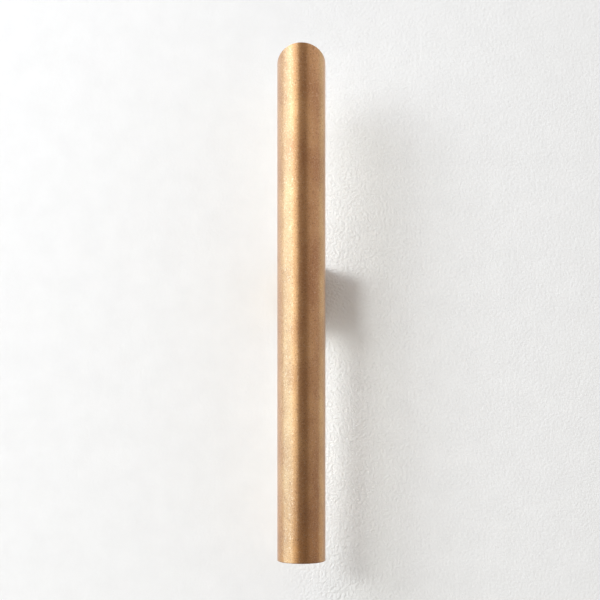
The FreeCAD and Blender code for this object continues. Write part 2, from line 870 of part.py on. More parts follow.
def make_holder_nuts():
    """Nuts on the holder's screws, on the far side of the carrier's disc."""
    nuts = []
    for side in (-1, 1):
        top = -holder_height - carrier_thickness
        start = Vector(0, side * holder_screw_radius_place, top - holder_nut_height)
        nut = hexagon(holder_nut_across, start, UP, holder_nut_height)
        bore = rod(holder_screw_diameter / 2 + thread_room, start, UP, holder_nut_height)
        nuts.append(nut.cut(bore))
    return nuts


def lamp_pin_low():
    """Lowest point of the pins, in the lamp's own frame."""
    return lamp_seat_gap - pin_neck_length - pin_head_length


def shell_outline(inset):
    """The lamp shell's flare: the neck's end, a point between and the rim's start, moved inwards."""
    rim_start = lamp_length - lamp_rim_height
    rise = rim_start - lamp_neck_top
    reach = lamp_radius - shell_neck_radius
    neck_end = Vector(shell_neck_radius - inset, 0, lamp_neck_top)
    between = Vector(
        shell_neck_radius + lamp_flare_reach_share * reach - inset,
        0,
        lamp_neck_top + lamp_flare_rise_share * rise,
    )
    rim = Vector(lamp_radius - inset, 0, rim_start)
    return neck_end, between, rim


def revolved(points_and_arcs):
    """Solid of revolution about the lamp's axis. A tuple of three points is an arc."""
    edges = []
    for piece in points_and_arcs:
        if len(piece) == 3:
            edges.append(Part.Arc(*piece).toShape())
        else:
            edges.append(Part.LineSegment(*piece).toShape())
    return Part.Face(Part.Wire(edges)).revolve(Vector(0, 0, 0), UP, 360)


def make_lamp_shell():
    """Flared reflector shell with a cylindrical neck and rim, and a ledge for the lens."""
    outer = shell_outline(0)
    inner = shell_outline(lamp_shell_wall)
    collar_top = lamp_collar_height
    ledge_height = lamp_length - lens_recess - lens_thickness
    ledge_radius = inner[2].x - lens_ledge
    rim_top = lamp_length
    seat_radius = lamp_radius - lamp_shell_wall
    foot_outer = Vector(shell_neck_radius, 0, collar_top)
    foot_inner = Vector(shell_bore_radius, 0, collar_top)
    ledge_foot = Vector(ledge_radius, 0, ledge_height - lens_ledge)
    return revolved(
        [
            (foot_outer, outer[0]),
            outer,
            (outer[2], Vector(lamp_radius, 0, rim_top)),
            (Vector(lamp_radius, 0, rim_top), Vector(seat_radius, 0, rim_top)),
            (Vector(seat_radius, 0, rim_top), Vector(seat_radius, 0, ledge_height)),
            (Vector(seat_radius, 0, ledge_height), Vector(ledge_radius, 0, ledge_height)),
            (Vector(ledge_radius, 0, ledge_height), ledge_foot),
            (ledge_foot, inner[2]),
            tuple(reversed(inner)),
            (inner[0], foot_inner),
            (foot_inner, foot_outer),
        ]
    )


def make_lamp_lens():
    """Clear disc in the shell's rim."""
    low = lamp_length - lens_recess - lens_thickness
    return rod(lamp_radius - lamp_shell_wall - lens_room, Vector(0, 0, low), UP, lens_thickness)


def make_lamp_base():
    """Hollow plastic base: a collar flush with the shell's neck and a spigot inside it."""
    low = lamp_seat_gap
    spigot_radius = shell_bore_radius - close_room
    spigot_top = lamp_collar_height + lamp_spigot_height
    collar = rod(shell_neck_radius, Vector(0, 0, low), UP, lamp_collar_height - low)
    spigot = rod(spigot_radius, Vector(0, 0, low), UP, spigot_top - low)
    hollow_low = low + lamp_base_floor
    hollow = rod(spigot_radius - lamp_base_wall, Vector(0, 0, hollow_low), UP, spigot_top)
    cutters = [hollow]
    for angle in pin_sides():
        start = polar(pin_circle_radius, angle, low - overrun)
        radius = pin_neck_diameter / 2 + thread_room
        cutters.append(rod(radius, start, UP, lamp_base_floor + 2 * overrun))
    return without(joined([collar, spigot]), cutters)


def make_lamp_pins():
    """Two headed pins."""
    neck_low = lamp_seat_gap - pin_neck_length
    pins = []
    for angle in pin_sides():
        neck = rod(
            pin_neck_diameter / 2,
            polar(pin_circle_radius, angle, neck_low),
            UP,
            pin_neck_length + lamp_base_floor,
        )
        head = rod(
            pin_head_diameter / 2, polar(pin_circle_radius, angle, lamp_pin_low()), UP, pin_head_length
        )
        head_edges = [edge for edge in head.Edges if edge.isClosed()]
        head = head.makeChamfer(head_side_room, head_edges)
        pins.append(joined([neck, head]))
    return pins


def shell_inner_radius_at(height):
    """Inner radius of the shell's flare at this height."""
    arc = Part.Arc(*shell_outline(lamp_shell_wall)).toShape()
    level = Part.LineSegment(Vector(0, 0, height), Vector(lamp_radius, 0, height)).toShape()
    return arc.distToShape(level)[1][0][0].x


def make_led_plate():
    """Aluminium plate that carries the LED board and rests in the shell."""
    radius = shell_inner_radius_at(led_plate_height) - close_room
    plate = rod(radius, Vector(0, 0, led_plate_height), UP, led_plate_thickness)
    wire_hole = rod(lead_radius, Vector(0, 0, led_plate_height - overrun), UP, led_plate_height)
    return plate.cut(wire_hole)


def make_led_board():
    """Round circuit board on the plate."""
    low = led_plate_height + led_plate_thickness
    board = rod(led_board_diameter / 2, Vector(0, 0, low), UP, led_board_thickness)
    return board.cut(rod(lead_radius, Vector(0, 0, low - overrun), UP, led_plate_height))


def make_led_chips():
    """Ring of square LEDs on the board."""
    low = led_plate_height + led_plate_thickness + led_board_thickness
    chips = []
    for number in range(led_count):
        angle = 360 * number / led_count
        chip = Part.makeBox(led_side, led_side, led_thickness, Vector(-led_side / 2, -led_side / 2, 0))
        chip.rotate(Vector(0, 0, 0), UP, angle)
        chip.translate(polar(led_ring_diameter / 2, angle, low))
        chips.append(chip)
    return chips


def make_lamp_driver():
    """Small circuit board that stands in the base, with a capacitor and a coil on it."""
    low = lamp_seat_gap + lamp_base_floor
    board = block(
        Vector(-driver_width / 2, -driver_thickness / 2, low),
        Vector(driver_width / 2, driver_thickness / 2, low + driver_height),
    )
    parts_low = low + driver_parts_height
    capacitor_base = Vector(0, (driver_thickness + driver_capacitor_diameter) / 2, parts_low)
    capacitor = rod(driver_capacitor_diameter / 2, capacitor_base, UP, driver_capacitor_length)
    coil = block(
        Vector(-driver_coil_side / 2, -driver_thickness / 2 - driver_coil_side, parts_low),
        Vector(driver_coil_side / 2, -driver_thickness / 2, parts_low + driver_coil_height),
    )
    return [board, capacitor, coil]


def lead_end_y():
    """Depth of the leads' ends in the terminal block, clamped behind the ways' middle line."""
    return terminal_way_y() + conductor_back


def grommet_place(number):
    """Where a lead passes the grommet: its x and its height, counted from the foot to the right."""
    turn = math.radians(360 * number / lead_count - 90)
    return lead_ring_diameter / 2 * math.cos(turn), lead_ring_diameter / 2 * math.sin(turn)


def connected_lead(tube_points, number, way, side):
    """Lead from the tube through the grommet to a way of the terminal block, and its bare end.

    side places the lead in its way: 1 above the middle, -1 below it and 0 in it. The leads on the
    grommet's right turn aside behind those on its left."""
    x, height = grommet_place(number)
    flange_y = axis_y + saddle_inner_radius + grommet_flange_thickness
    room = -bracket_thickness - terminal_depth - block_head_height - flange_y
    first_turn = lead_first_turn_share * room
    turn_step = lead_diameter + sliding_room
    slant = room - first_turn - turn_step - lead_radius - sliding_room
    turn_y = flange_y + first_turn + (turn_step if x > lead_radius else 0)
    lane = lead_lane_room - cavity_half_width
    end = Vector(
        -clamp_tube_length / 2 - lead_end_room,
        lead_end_y(),
        terminal_way_heights()[way] + side * lead_pair_pitch / 2,
    )
    points = tube_points + [
        from_axis(x, strip_front - lead_turn_depth, height),
        from_axis(x, strip_front, height),
        Vector(x, flange_y, height),
        Vector(x, turn_y, height),
        Vector(lane, turn_y + slant, end.z + side * lead_lane_spread),
        Vector(lane, end.y, end.z),
        end,
    ]
    return [routed_lead(points), rod(conductor_diameter / 2, end, SIDEWAYS, conductor_length)]


def make_holder_lead(upward, contact_side, number):
    """Lead and bare end from a lampholder's contact to the terminal block: live is on the left."""
    seat = upper_seat if upward else lower_seat
    inward = -1 if upward else 1
    contact_x = contact_side * pin_circle_radius
    line_x = contact_side * lead_spread
    drop, slant_end, turn_in = lead_heights(upward)
    tube_points = [
        from_axis(contact_x, 0, seat + inward * contact_seat_low),
        from_axis(contact_x, 0, seat + inward * (holder_height + carrier_thickness)),
        from_axis(contact_x, 0, drop),
        from_axis(line_x, lead_line, slant_end),
        from_axis(line_x, lead_line, turn_in),
    ]
    way = live_way if contact_side < 0 else neutral_way
    return connected_lead(tube_points, number, way, -inward)


def tag_middle():
    """Height of the earth tag's ring."""
    return -tag_below_middle


def make_earth_lead():
    """Earth lead and bare end from the tag on the carrier to the terminal block's lowest way."""
    barrel_middle = strip_front - tag_barrel_diameter / 2
    barrel_top = tag_middle() + tag_ring_diameter / 2 + tag_barrel_length
    over_nut = strip_front - clamp_nut_height - lead_radius - sliding_room
    tube_points = [
        from_axis(0, barrel_middle, barrel_top),
        from_axis(0, barrel_middle, barrel_top + lead_diameter),
        from_axis(0, over_nut, -(clamp_screw_spacing + clamp_nut_diameter) / 2),
    ]
    return connected_lead(tube_points, 0, earth_way, 0)


def make_earth_tag():
    """Ring tag crimped on the earth lead's end."""
    ring_middle = from_axis(0, strip_front, tag_middle())
    ring = rod(tag_ring_diameter / 2, ring_middle, FORWARD, tag_thickness)
    barrel_low = tag_middle() + tag_ring_diameter / 2
    neck = block(
        from_axis(-tag_neck_width / 2, strip_front - tag_thickness, tag_middle()),
        from_axis(tag_neck_width / 2, strip_front, barrel_low + tag_thickness),
    )
    barrel = upright(
        tag_barrel_diameter / 2,
        barrel_low,
        barrel_low + tag_barrel_length,
        0,
        strip_front - tag_barrel_diameter / 2,
    )
    hole = rod(earth_screw_diameter / 2 + screw_hole_room, ring_middle, FORWARD, tag_thickness)
    return joined([ring, neck, barrel]).cut(hole)


def make_earth_screw():
    """Pan-head screw through the tag into the carrier."""
    seat = from_axis(0, strip_front - tag_thickness, tag_middle())
    head = rod(earth_head_diameter / 2, seat, FORWARD, earth_head_height)
    shank = rod(earth_screw_diameter / 2, seat, BACKWARD, tag_thickness + carrier_thickness)
    top = seat + FORWARD * earth_head_height
    return slotted(joined([head, shank]), top, earth_head_diameter)


def make_lead_clips():
    """Nylon clips with two open hooks and a peg in the carrier."""
    clips = []
    for height in clip_heights():
        low = height - clip_height / 2
        body = block(
            from_axis(-clip_width / 2, strip_front - clip_depth, low),
            from_axis(clip_width / 2, strip_front, low + clip_height),
        )
        peg = rod(clip_peg_diameter / 2, from_axis(0, strip_front, height), BACKWARD, carrier_thickness)
        cutters = []
        for side in (-1, 1):
            place = side * lead_spread
            bore = lead_radius + clip_bore_room
            cutters.append(upright(bore, low - overrun, low + clip_height + overrun, place, lead_line))
            cutters.append(
                block(
                    from_axis(place - clip_mouth / 2, strip_front - clip_depth - overrun, low - overrun),
                    from_axis(place + clip_mouth / 2, lead_line, low + clip_height + overrun),
                )
            )
        clips.append(without(joined([body, peg]), cutters))
    return clips


def save_fixture():
    """Writes the pieces that hold the tube to the wall."""
    save("outer_tube", make_outer_tube())
    save("mounting_box", make_mounting_box())
    save("wall_bracket", make_wall_bracket())
    save("box_lock_screws", *make_lock_screws())
    save("tube_clamp_screws", *make_clamp_screws())
    save("tube_clamp_washers", *make_clamp_washers())
    save("carrier_nuts", *make_clamp_nuts())
    save("lamp_carrier", make_lamp_carrier())
    save("wire_grommet", make_wire_grommet())


def save_wiring():
    """Writes the terminal block, the leads and what holds them."""
    save("terminal_block_body", make_terminal_body())
    save("terminal_tubes", *make_terminal_tubes())
    save("terminal_wire_screws", *make_wire_screws())
    save("terminal_block_screws", *make_block_screws())
    save("upper_live_lead", *make_holder_lead(True, -1, 3))
    save("upper_neutral_lead", *make_holder_lead(True, 1, 2))
    save("lower_live_lead", *make_holder_lead(False, -1, 4))
    save("lower_neutral_lead", *make_holder_lead(False, 1, 1))
    save("earth_lead", *make_earth_lead())
    save("earth_tag", make_earth_tag())
    save("earth_screw", make_earth_screw())
    save("lead_clips", *make_lead_clips())


def save_lamp_and_holder(name, seat, upward):
    """Writes one end's lampholder and lamp."""

    def placed(shapes):
        return [on_axis(shape, seat, upward) for shape in shapes]

    save(name + "_lampholder_front", *placed([make_holder_plate()]))
    save(name + "_lampholder_ring", *placed([make_holder_ring()]))
    save(name + "_lampholder_rear", *placed([make_holder_rear()]))
    save(name + "_lampholder_contacts", *placed(make_contacts()))
    save(name + "_lampholder_screws", *placed(make_holder_screws()))
    save(name + "_lampholder_nuts", *placed(make_holder_nuts()))
    save(name + "_lamp_shell", *placed([make_lamp_shell()]))
    save(name + "_lamp_lens", *placed([make_lamp_lens()]))
    save(name + "_lamp_base", *placed([make_lamp_base()]))
    save(name + "_lamp_pins", *placed(make_lamp_pins()))
    save(name + "_lamp_led_plate", *placed([make_led_plate()]))
    save(name + "_lamp_led_board", *placed([make_led_board()]))
    save(name + "_lamp_led_chips", *placed(make_led_chips()))
    save(name + "_lamp_driver", *placed(make_lamp_driver()))


def main():
    os.makedirs("parts", exist_ok=True)
    save_fixture()
    save_wiring()
    save_lamp_and_holder("upper", upper_seat, True)
    save_lamp_and_holder("lower", lower_seat, False)


main()
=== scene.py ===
"""Looks of the up and down wall light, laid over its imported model.

The frame is the model's own: metres, the wall is the plane y = 0, the room lies towards -y, and z is
up. The model's meshes stay and get their finishes here. The lamps also get their cooling fins and the
optics under their clear covers. Bearings are in degrees, 0 towards the camera and positive to its right.
"""
import math

import bpy
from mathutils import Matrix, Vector


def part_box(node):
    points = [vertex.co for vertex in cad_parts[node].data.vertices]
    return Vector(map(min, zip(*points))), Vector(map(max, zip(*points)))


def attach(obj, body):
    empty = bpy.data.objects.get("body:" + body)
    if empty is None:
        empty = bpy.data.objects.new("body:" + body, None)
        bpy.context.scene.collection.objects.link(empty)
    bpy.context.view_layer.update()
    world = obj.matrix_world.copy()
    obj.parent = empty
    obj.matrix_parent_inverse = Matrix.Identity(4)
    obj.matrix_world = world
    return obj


bl_info = {
    "name": "Up and Down Wall Light",
    "version": (1, 0, 0),
    "blender": (4, 5, 0),
    "location": "View3D > Sidebar > Wall Light",
    "description": "Dresses a brass tube wall light with its finishes, lamp details and studio",
    "category": "Object",
}

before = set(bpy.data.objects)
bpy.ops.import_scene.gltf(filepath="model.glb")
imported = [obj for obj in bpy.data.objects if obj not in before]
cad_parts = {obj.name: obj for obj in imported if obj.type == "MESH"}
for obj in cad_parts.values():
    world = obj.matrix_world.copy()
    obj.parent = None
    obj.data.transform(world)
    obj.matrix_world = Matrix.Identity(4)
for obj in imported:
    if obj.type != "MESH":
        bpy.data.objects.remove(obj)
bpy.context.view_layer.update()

MM = 0.001
ENDS = ("upper", "lower")
TUBE_LOW, TUBE_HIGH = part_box("outer_tube")
TUBE_RADIUS = (TUBE_HIGH.x - TUBE_LOW.x) / 2
AXIS_Y = (TUBE_LOW.y + TUBE_HIGH.y) / 2
MIDDLE = Vector((0.0, AXIS_Y, (TUBE_LOW.z + TUBE_HIGH.z) / 2))
# Nearly all of a noise lies between these two.
NOISE_SPAN = (0.3, 0.7)
# The kinds of node that come up most.
MATH = "ShaderNodeMath"
RANGE = "ShaderNodeMapRange"
MIX = "ShaderNodeMix"


def linear(hex_colour):
    """Linear RGBA of an sRGB hex colour."""
    channels = [int(hex_colour[place : place + 2], 16) / 255 for place in (1, 3, 5)]
    return tuple(c / 12.92 if c <= 0.04045 else ((c + 0.055) / 1.055) ** 2.4 for c in channels) + (1.0,)


def colour_property(name, hex_colour, description):
    """Colour that a user can change."""
    return bpy.props.FloatVectorProperty(
        name=name,
        description=description,
        subtype="COLOR",
        size=4,
        min=0.0,
        max=1.0,
        default=linear(hex_colour),
    )


def length_property(name, millimetres, description):
    """Length that a user can change, held in metres."""
    return bpy.props.FloatProperty(
        name=name,
        description=description,
        subtype="DISTANCE",
        unit="LENGTH",
        min=0.0,
        default=millimetres * MM,
    )


def share_property(name, share, description):
    """Share from 0 to 1 that a user can change."""
    return bpy.props.FloatProperty(
        name=name, description=description, subtype="FACTOR", min=0.0, max=1.0, default=share
    )


def number_property(name, number, description):
    """Plain number that a user can change."""
    return bpy.props.FloatProperty(name=name, description=description, min=0.0, default=number)


def count_property(name, count, description):
    """Count that a user can change."""
    return bpy.props.IntProperty(name=name, description=description, min=1, default=count)


def power_property(name, watts, description):
    """Power of a light that a user can change."""
    return bpy.props.FloatProperty(name=name, description=description, unit="POWER", min=0.0, default=watts)


class WallLightBrass(bpy.types.PropertyGroup):
    """Sizes and colours of the brass on the tube and its box."""

    brass: colour_property("Brass", "#CFA56C", "Clean blasted brass")
    # Painted shade: this warmer, slightly darker brass is painted over the lower tube for its dimmer
    # highlight there.
    foot_shade: colour_property("Warm brass", "#D29C5A", "Clean blasted brass near the foot")
    pale: colour_property("Pale brass", "#E8D0AA", "Rubbed places and the bright facets of the grain")
    patina: colour_property("Patina", "#B68855", "Brown bloom that brass takes on in air")
    deep: colour_property("Deep patina", "#7F5A3C", "Pits, the inside of the tube and the foot's line")
    edge: colour_property("Edge", "#FFEADF", "Tint of the brass where it is seen at a flat angle")
    grain: length_property("Grain", 1.5, "Size of the blasted grain")
    grain_depth: length_property("Grain depth", 0.022, "Height of the blasted grain")
    dapple: length_property("Dapple", 4.5, "Size of the shallow waves that the blasting leaves")
    dapple_rise: number_property("Dapple rise", 1.7, "Height of those waves, where the grain's is 1")
    fleck_gap: number_property("Fleck gap", 2.5, "Room between the pale flecks, in grains")
    bloom: length_property("Bloom", 26.0, "Size of the patina's clouds")
    bloom_stretch: number_property("Bloom stretch", 1.8, "How much longer than wide the clouds are")
    # Heights over which that painted shade fades in towards the foot.
    foot_shade_from: length_property("Warm from", 100.0, "Height above the foot where the brass turns warmer")
    foot_shade_full: length_property("Warm below", 30.0, "Height above the foot up to which it is warmest")
    # The foot line is a darker band along the tube's very foot.
    foot_line: length_property("Foot line", 1.6, "Height of the handled line at the foot")
    foot_line_full: length_property("Foot line core", 0.5, "Height up to which that line is darkest")
    roughness: share_property("Roughness", 0.30, "Satin of the blasted brass")
    inside_roughness: share_property("Inside roughness", 0.18, "What the tube's inside has on top of that")


class WallLightFinishes(bpy.types.PropertyGroup):
    """Colours of the pieces inside the light."""

    zinc: colour_property("Zinc", "#B9BCC0", "Zinc-plated sheet steel")
    steel: colour_property("Steel", "#A9ABAD", "Zinc-plated screws and nuts")
    fixing_brass: colour_property("Fixing brass", "#C59A57", "Turned brass screws")
    terminal_brass: colour_property("Terminal brass", "#D3AE62", "Bright turned brass")
    rubber: colour_property("Rubber", "#1B1B1C", "Moulded black rubber")
    nylon: colour_property("Nylon", "#E8E7DF", "Natural moulded nylon")
    live: colour_property("Live", "#6B3F24", "Brown silicone insulation")
    neutral: colour_property("Neutral", "#2B62A8", "Blue silicone insulation")
    earth_green: colour_property("Earth green", "#3F8A35", "Green of the earth insulation")
    earth_yellow: colour_property("Earth yellow", "#E3C833", "Yellow of the earth insulation")
    tin: colour_property("Tin", "#C9C7C1", "Tinned copper")
    steatite: colour_property("Steatite", "#E9E4D8", "Unglazed pressed ceramic")
    nickel: colour_property("Nickel", "#C7C2B6", "Nickel-plated strip and pins")
    lamp_white: colour_property("Lamp white", "#EDEDEA", "Heat-conducting moulded plastic")
    lens: colour_property("Lens", "#F4F6F5", "Moulded clear polycarbonate")
    acrylic: colour_property("Acrylic", "#FBFCFC", "Optical acrylic")
    aluminium: colour_property("Aluminium", "#CDD0D2", "Stamped aluminium")
    board_white: colour_property("White board", "#EEEEE8", "White solder mask")
    phosphor: colour_property("Phosphor", "#E9C24A", "Silicone over yellow phosphor")
    board_green: colour_property("Green board", "#1F5A38", "Green solder mask")


class WallLightLamp(bpy.types.PropertyGroup):
    """Sizes of what the lamps carry beyond the model's solids."""

    fins: count_property("Fins", 30, "Cooling fins round the shell")
    fin_root: length_property("Fin root", 1.2, "Thickness of a fin where it leaves the shell")
    fin_edge: length_property("Fin edge", 0.8, "Thickness of a fin at its outer edge")
    fin_set: length_property("Fin set", 0.5, "How far the fins' roots lie in the shell's wall")
    bell_foot: length_property("Bell foot", 14.6, "Foot radius of the bell that the fins' edges follow")
    collar_gap: length_property("Collar gap", 1.2, "Room between the base's collar and the fins")
    neck_length: length_property("Neck", 7.0, "Straight neck of the shell below its flare")
    rim_height: length_property("Rim", 6.0, "Straight rim of the shell above its flare")
    bend_rise: share_property("Bend rise", 0.46, "Share of the flare's height that lies below its bend")
    bend_reach: share_property("Bend reach", 0.6, "Share of the flare's width that lies inside its bend")
    optics: count_property("Optics", 6, "Lens cups, one over each LED")
    cup_ring: length_property("Optics ring", 7.5, "Radius of the ring of LEDs")
    cup_gap: length_property("Optic gap", 0.7, "Room between an LED and its lens cup")
    cup_height: length_property("Optic height", 9.0, "Height of a lens cup")
    cup_foot: length_property("Optic foot", 1.9, "Radius of a lens cup over the LED")
    cup_mouth: length_property("Optic mouth", 3.6, "Radius of a lens cup's mouth")
    cup_swell: share_property("Optic swell", 0.12, "How far a cup's side bulges, as a share of its radius")
    dome_width: share_property("Dome width", 0.5, "Share of a cup's mouth that its dome fills")
    dome_rise: share_property("Dome rise", 0.45, "Height of that dome, as a share of its radius")
    disc_radius: length_property("Optics disc", 14.5, "Radius of the disc that joins the lens cups")
    disc_thickness: length_property("Optics disc thickness", 1.0, "Thickness of that disc")
    legs: count_property("Optics legs", 3, "Legs that stand on the board")
    leg_ring: length_property("Optics legs ring", 11.6, "Radius of the ring of those legs")
    leg_radius: length_property("Optics leg", 0.9, "Radius of a leg")


class WallLightStage(bpy.types.PropertyGroup):
    """The studio round the light."""

    wall: colour_property("Wall", "#EAEFEE", "Painted plaster")
    floor: colour_property("Floor", "#D9D6D1", "Pale floor")
    left_flats: colour_property("Left flats", "#8C8783", "Flats on the left")
    dark_room: colour_property("Dark room", "#675853", "Unlit room behind the camera")
    doorway: colour_property("Doorway", "#594942", "Darkest place, right of the camera")
    right_near: colour_property("Right near", "#8C807E", "Dim flats right of the camera")
    right_flats: colour_property("Right flats", "#8E8285", "White flats on the right, in half light")
    overhead: colour_property("Overhead", "#7C7A78", "Ceiling and floor of the room")
    backdrop: colour_property("Backdrop", "#E9E8E6", "What shows past the wall")
    stipple: length_property("Stipple", 3.4, "Size of the plaster's stipple")
    stipple_depth: length_property("Stipple depth", 0.42, "Height of the stipple where its strength is 1")
    left_stipple: number_property("Left stipple", 0.5, "Strength of the stipple left of the tube")
    right_stipple: number_property("Right stipple", 1.45, "Strength of the stipple right of the tube")
    tube_stipple: number_property("Tube stipple", 3.05, "Strength that the stipple gains beside the tube")
    waves: number_property("Waves", 0.9, "Strength of the plaster's long waves")
    key: colour_property("Key colour", "#E2E0F8", "Daylight of the softbox, upper left")
    key_power: power_property("Key", 25.0, "Softbox, upper left")
    screen: colour_property("Screen colour", "#C0DCFF", "Daylight of the wide lit screen on the left")
    screen_power: power_property("Screen", 22.0, "Wide lit screen on the left")
    strip_power: power_property("Strip", 4.7, "Lit strip nearer the camera")
    wall_power: power_property("Wall light", 71.0, "Softbox for the wall, which the tube doesn't shade")
    shade_power: power_property("Shade", 58.0, "Softbox for the wall, which the tube shades")
    flagged_power: power_property("Flagged", 69.0, "Softbox for the wall, behind a narrow flag")
    glow_power: power_property("Glow", 0.063, "Light that the brass throws on the wall beside it")
    rim: colour_property("Rim colour", "#BCC8FF", "Daylight that the wall throws on the tube's left side")
    rim_power: power_property("Rim", 1.8, "Light that the wall throws on the tube's left side")
    back_power: power_property("Back", 8.0, "Softbox behind the wall, for the mounting's back")
    room_light: number_property("Room light", 2.0, "Strength of the flats")
    camera_lens: number_property("Lens", 107.7, "Focal length in mm, on a sensor 36 mm wide")
    camera_distance: length_property("Camera distance", 2126.0, "From the camera to the tube's axis")
    camera_left: length_property("Camera left", 1.64, "How far left of the tube's axis the camera stands")
    camera_low: length_property("Camera low", 6.5, "How far below the model's origin the camera stands")


def add_node(tree, kind, inputs=(), **settings):
    """Adds a node with its settings, and gives its inputs, in order or by name, a value or a link.

    Returns the first of its outputs that is in use."""
    node = tree.nodes.new(kind)
    for name, value in settings.items():
        setattr(node, name, value)
    for place, value in inputs.items() if isinstance(inputs, dict) else enumerate(inputs):
        if isinstance(value, bpy.types.NodeSocket):
            tree.links.new(value, node.inputs[place])
        else:
            node.inputs[place].default_value = value
    return next((socket for socket in node.outputs if socket.enabled), None)


def new_finish(name, **constants):
    """Material with one surface shader whose constants are on its own sockets."""
    material = bpy.data.materials.new(name)
    material.use_nodes = True
    tree = material.node_tree
    tree.nodes.clear()
    surface = add_node(tree, "ShaderNodeBsdfPrincipled", constants)
    add_node(tree, "ShaderNodeOutputMaterial", {"Surface": surface})
    place = add_node(tree, "ShaderNodeTexCoord")
    return material, tree, surface.node, place.node


def pattern(tree, place, size, detail=2.0, stretch=(1.0, 1.0, 1.0)):
    """Noise with features of this size in metres, drawn out along the axes by stretch."""
    scale = [1 / (size * part) for part in stretch]
    spread = add_node(tree, "ShaderNodeMapping", {"Vector": place, "Scale": scale})
    return add_node(tree, "ShaderNodeTexNoise", {"Vector": spread, "Scale": 1.0, "Detail": detail})


def mottled(tree, noise, span, colour, darkening):
    """The colour where the noise is low, which goes over to a darker one where it is high."""
    amount = add_node(tree, RANGE, (noise, *span))
    return add_node(tree, MIX, {0: amount, 6: colour, 7: darker(colour, darkening)}, data_type="RGBA")


def raise_grain(tree, shader, height, depth):
    """Gives the surface this height pattern, depth metres from low to high."""
    bump = add_node(tree, "ShaderNodeBump", {"Height": height, "Distance": depth, "Strength": 1.0})
    tree.links.new(bump, shader.inputs["Normal"])


def mottled_finish(
    name, colour, darkening, size, depth, rough, metallic=0.0, stretch=(1, 1, 1), **constants
):
    """Finish of a colour and a darker one in a fine grain, whose gloss and height follow the grain."""
    grains_in_cloud = 14
    average_span = (0.38, 0.62)
    material, tree, shader, place = new_finish(name, Metallic=metallic, **constants)
    # Real plating, turning and moulding is finer than this, and is drawn as coarse as it needs to show.
    grain = pattern(tree, place.outputs["Object"], size, detail=3.0, stretch=stretch)
    cloud = pattern(tree, place.outputs["Object"], size * grains_in_cloud, stretch=stretch)
    both = add_node(tree, MATH, (grain, cloud), operation="ADD")
    average = add_node(tree, MATH, (both, 0.5), operation="MULTIPLY")
    tone = mottled(tree, average, average_span, colour, darkening)
    tree.links.new(tone, shader.inputs["Base Color"])
    gloss = add_node(tree, RANGE, (grain, *NOISE_SPAN, *rough))
    tree.links.new(gloss, shader.inputs["Roughness"])
    raise_grain(tree, shader, grain, depth)
    return material


def darker(colour, share):
    """The same colour with this share of its light taken away, or added where it is below 0."""
    return tuple(c * (1 - share) for c in colour[:3]) + (1.0,)


def dress(material, *nodes):
    """Gives model nodes this material in every slot."""
    for name in nodes:
        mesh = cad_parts[name].data
        if not mesh.materials:
            mesh.materials.append(material)
        for place in range(len(mesh.materials)):
            mesh.materials[place] = material


def at_both_ends(*pieces):
    """Names of the upper and the lower node of these pieces."""
    return [end + "_" + piece for end in ENDS for piece in pieces]


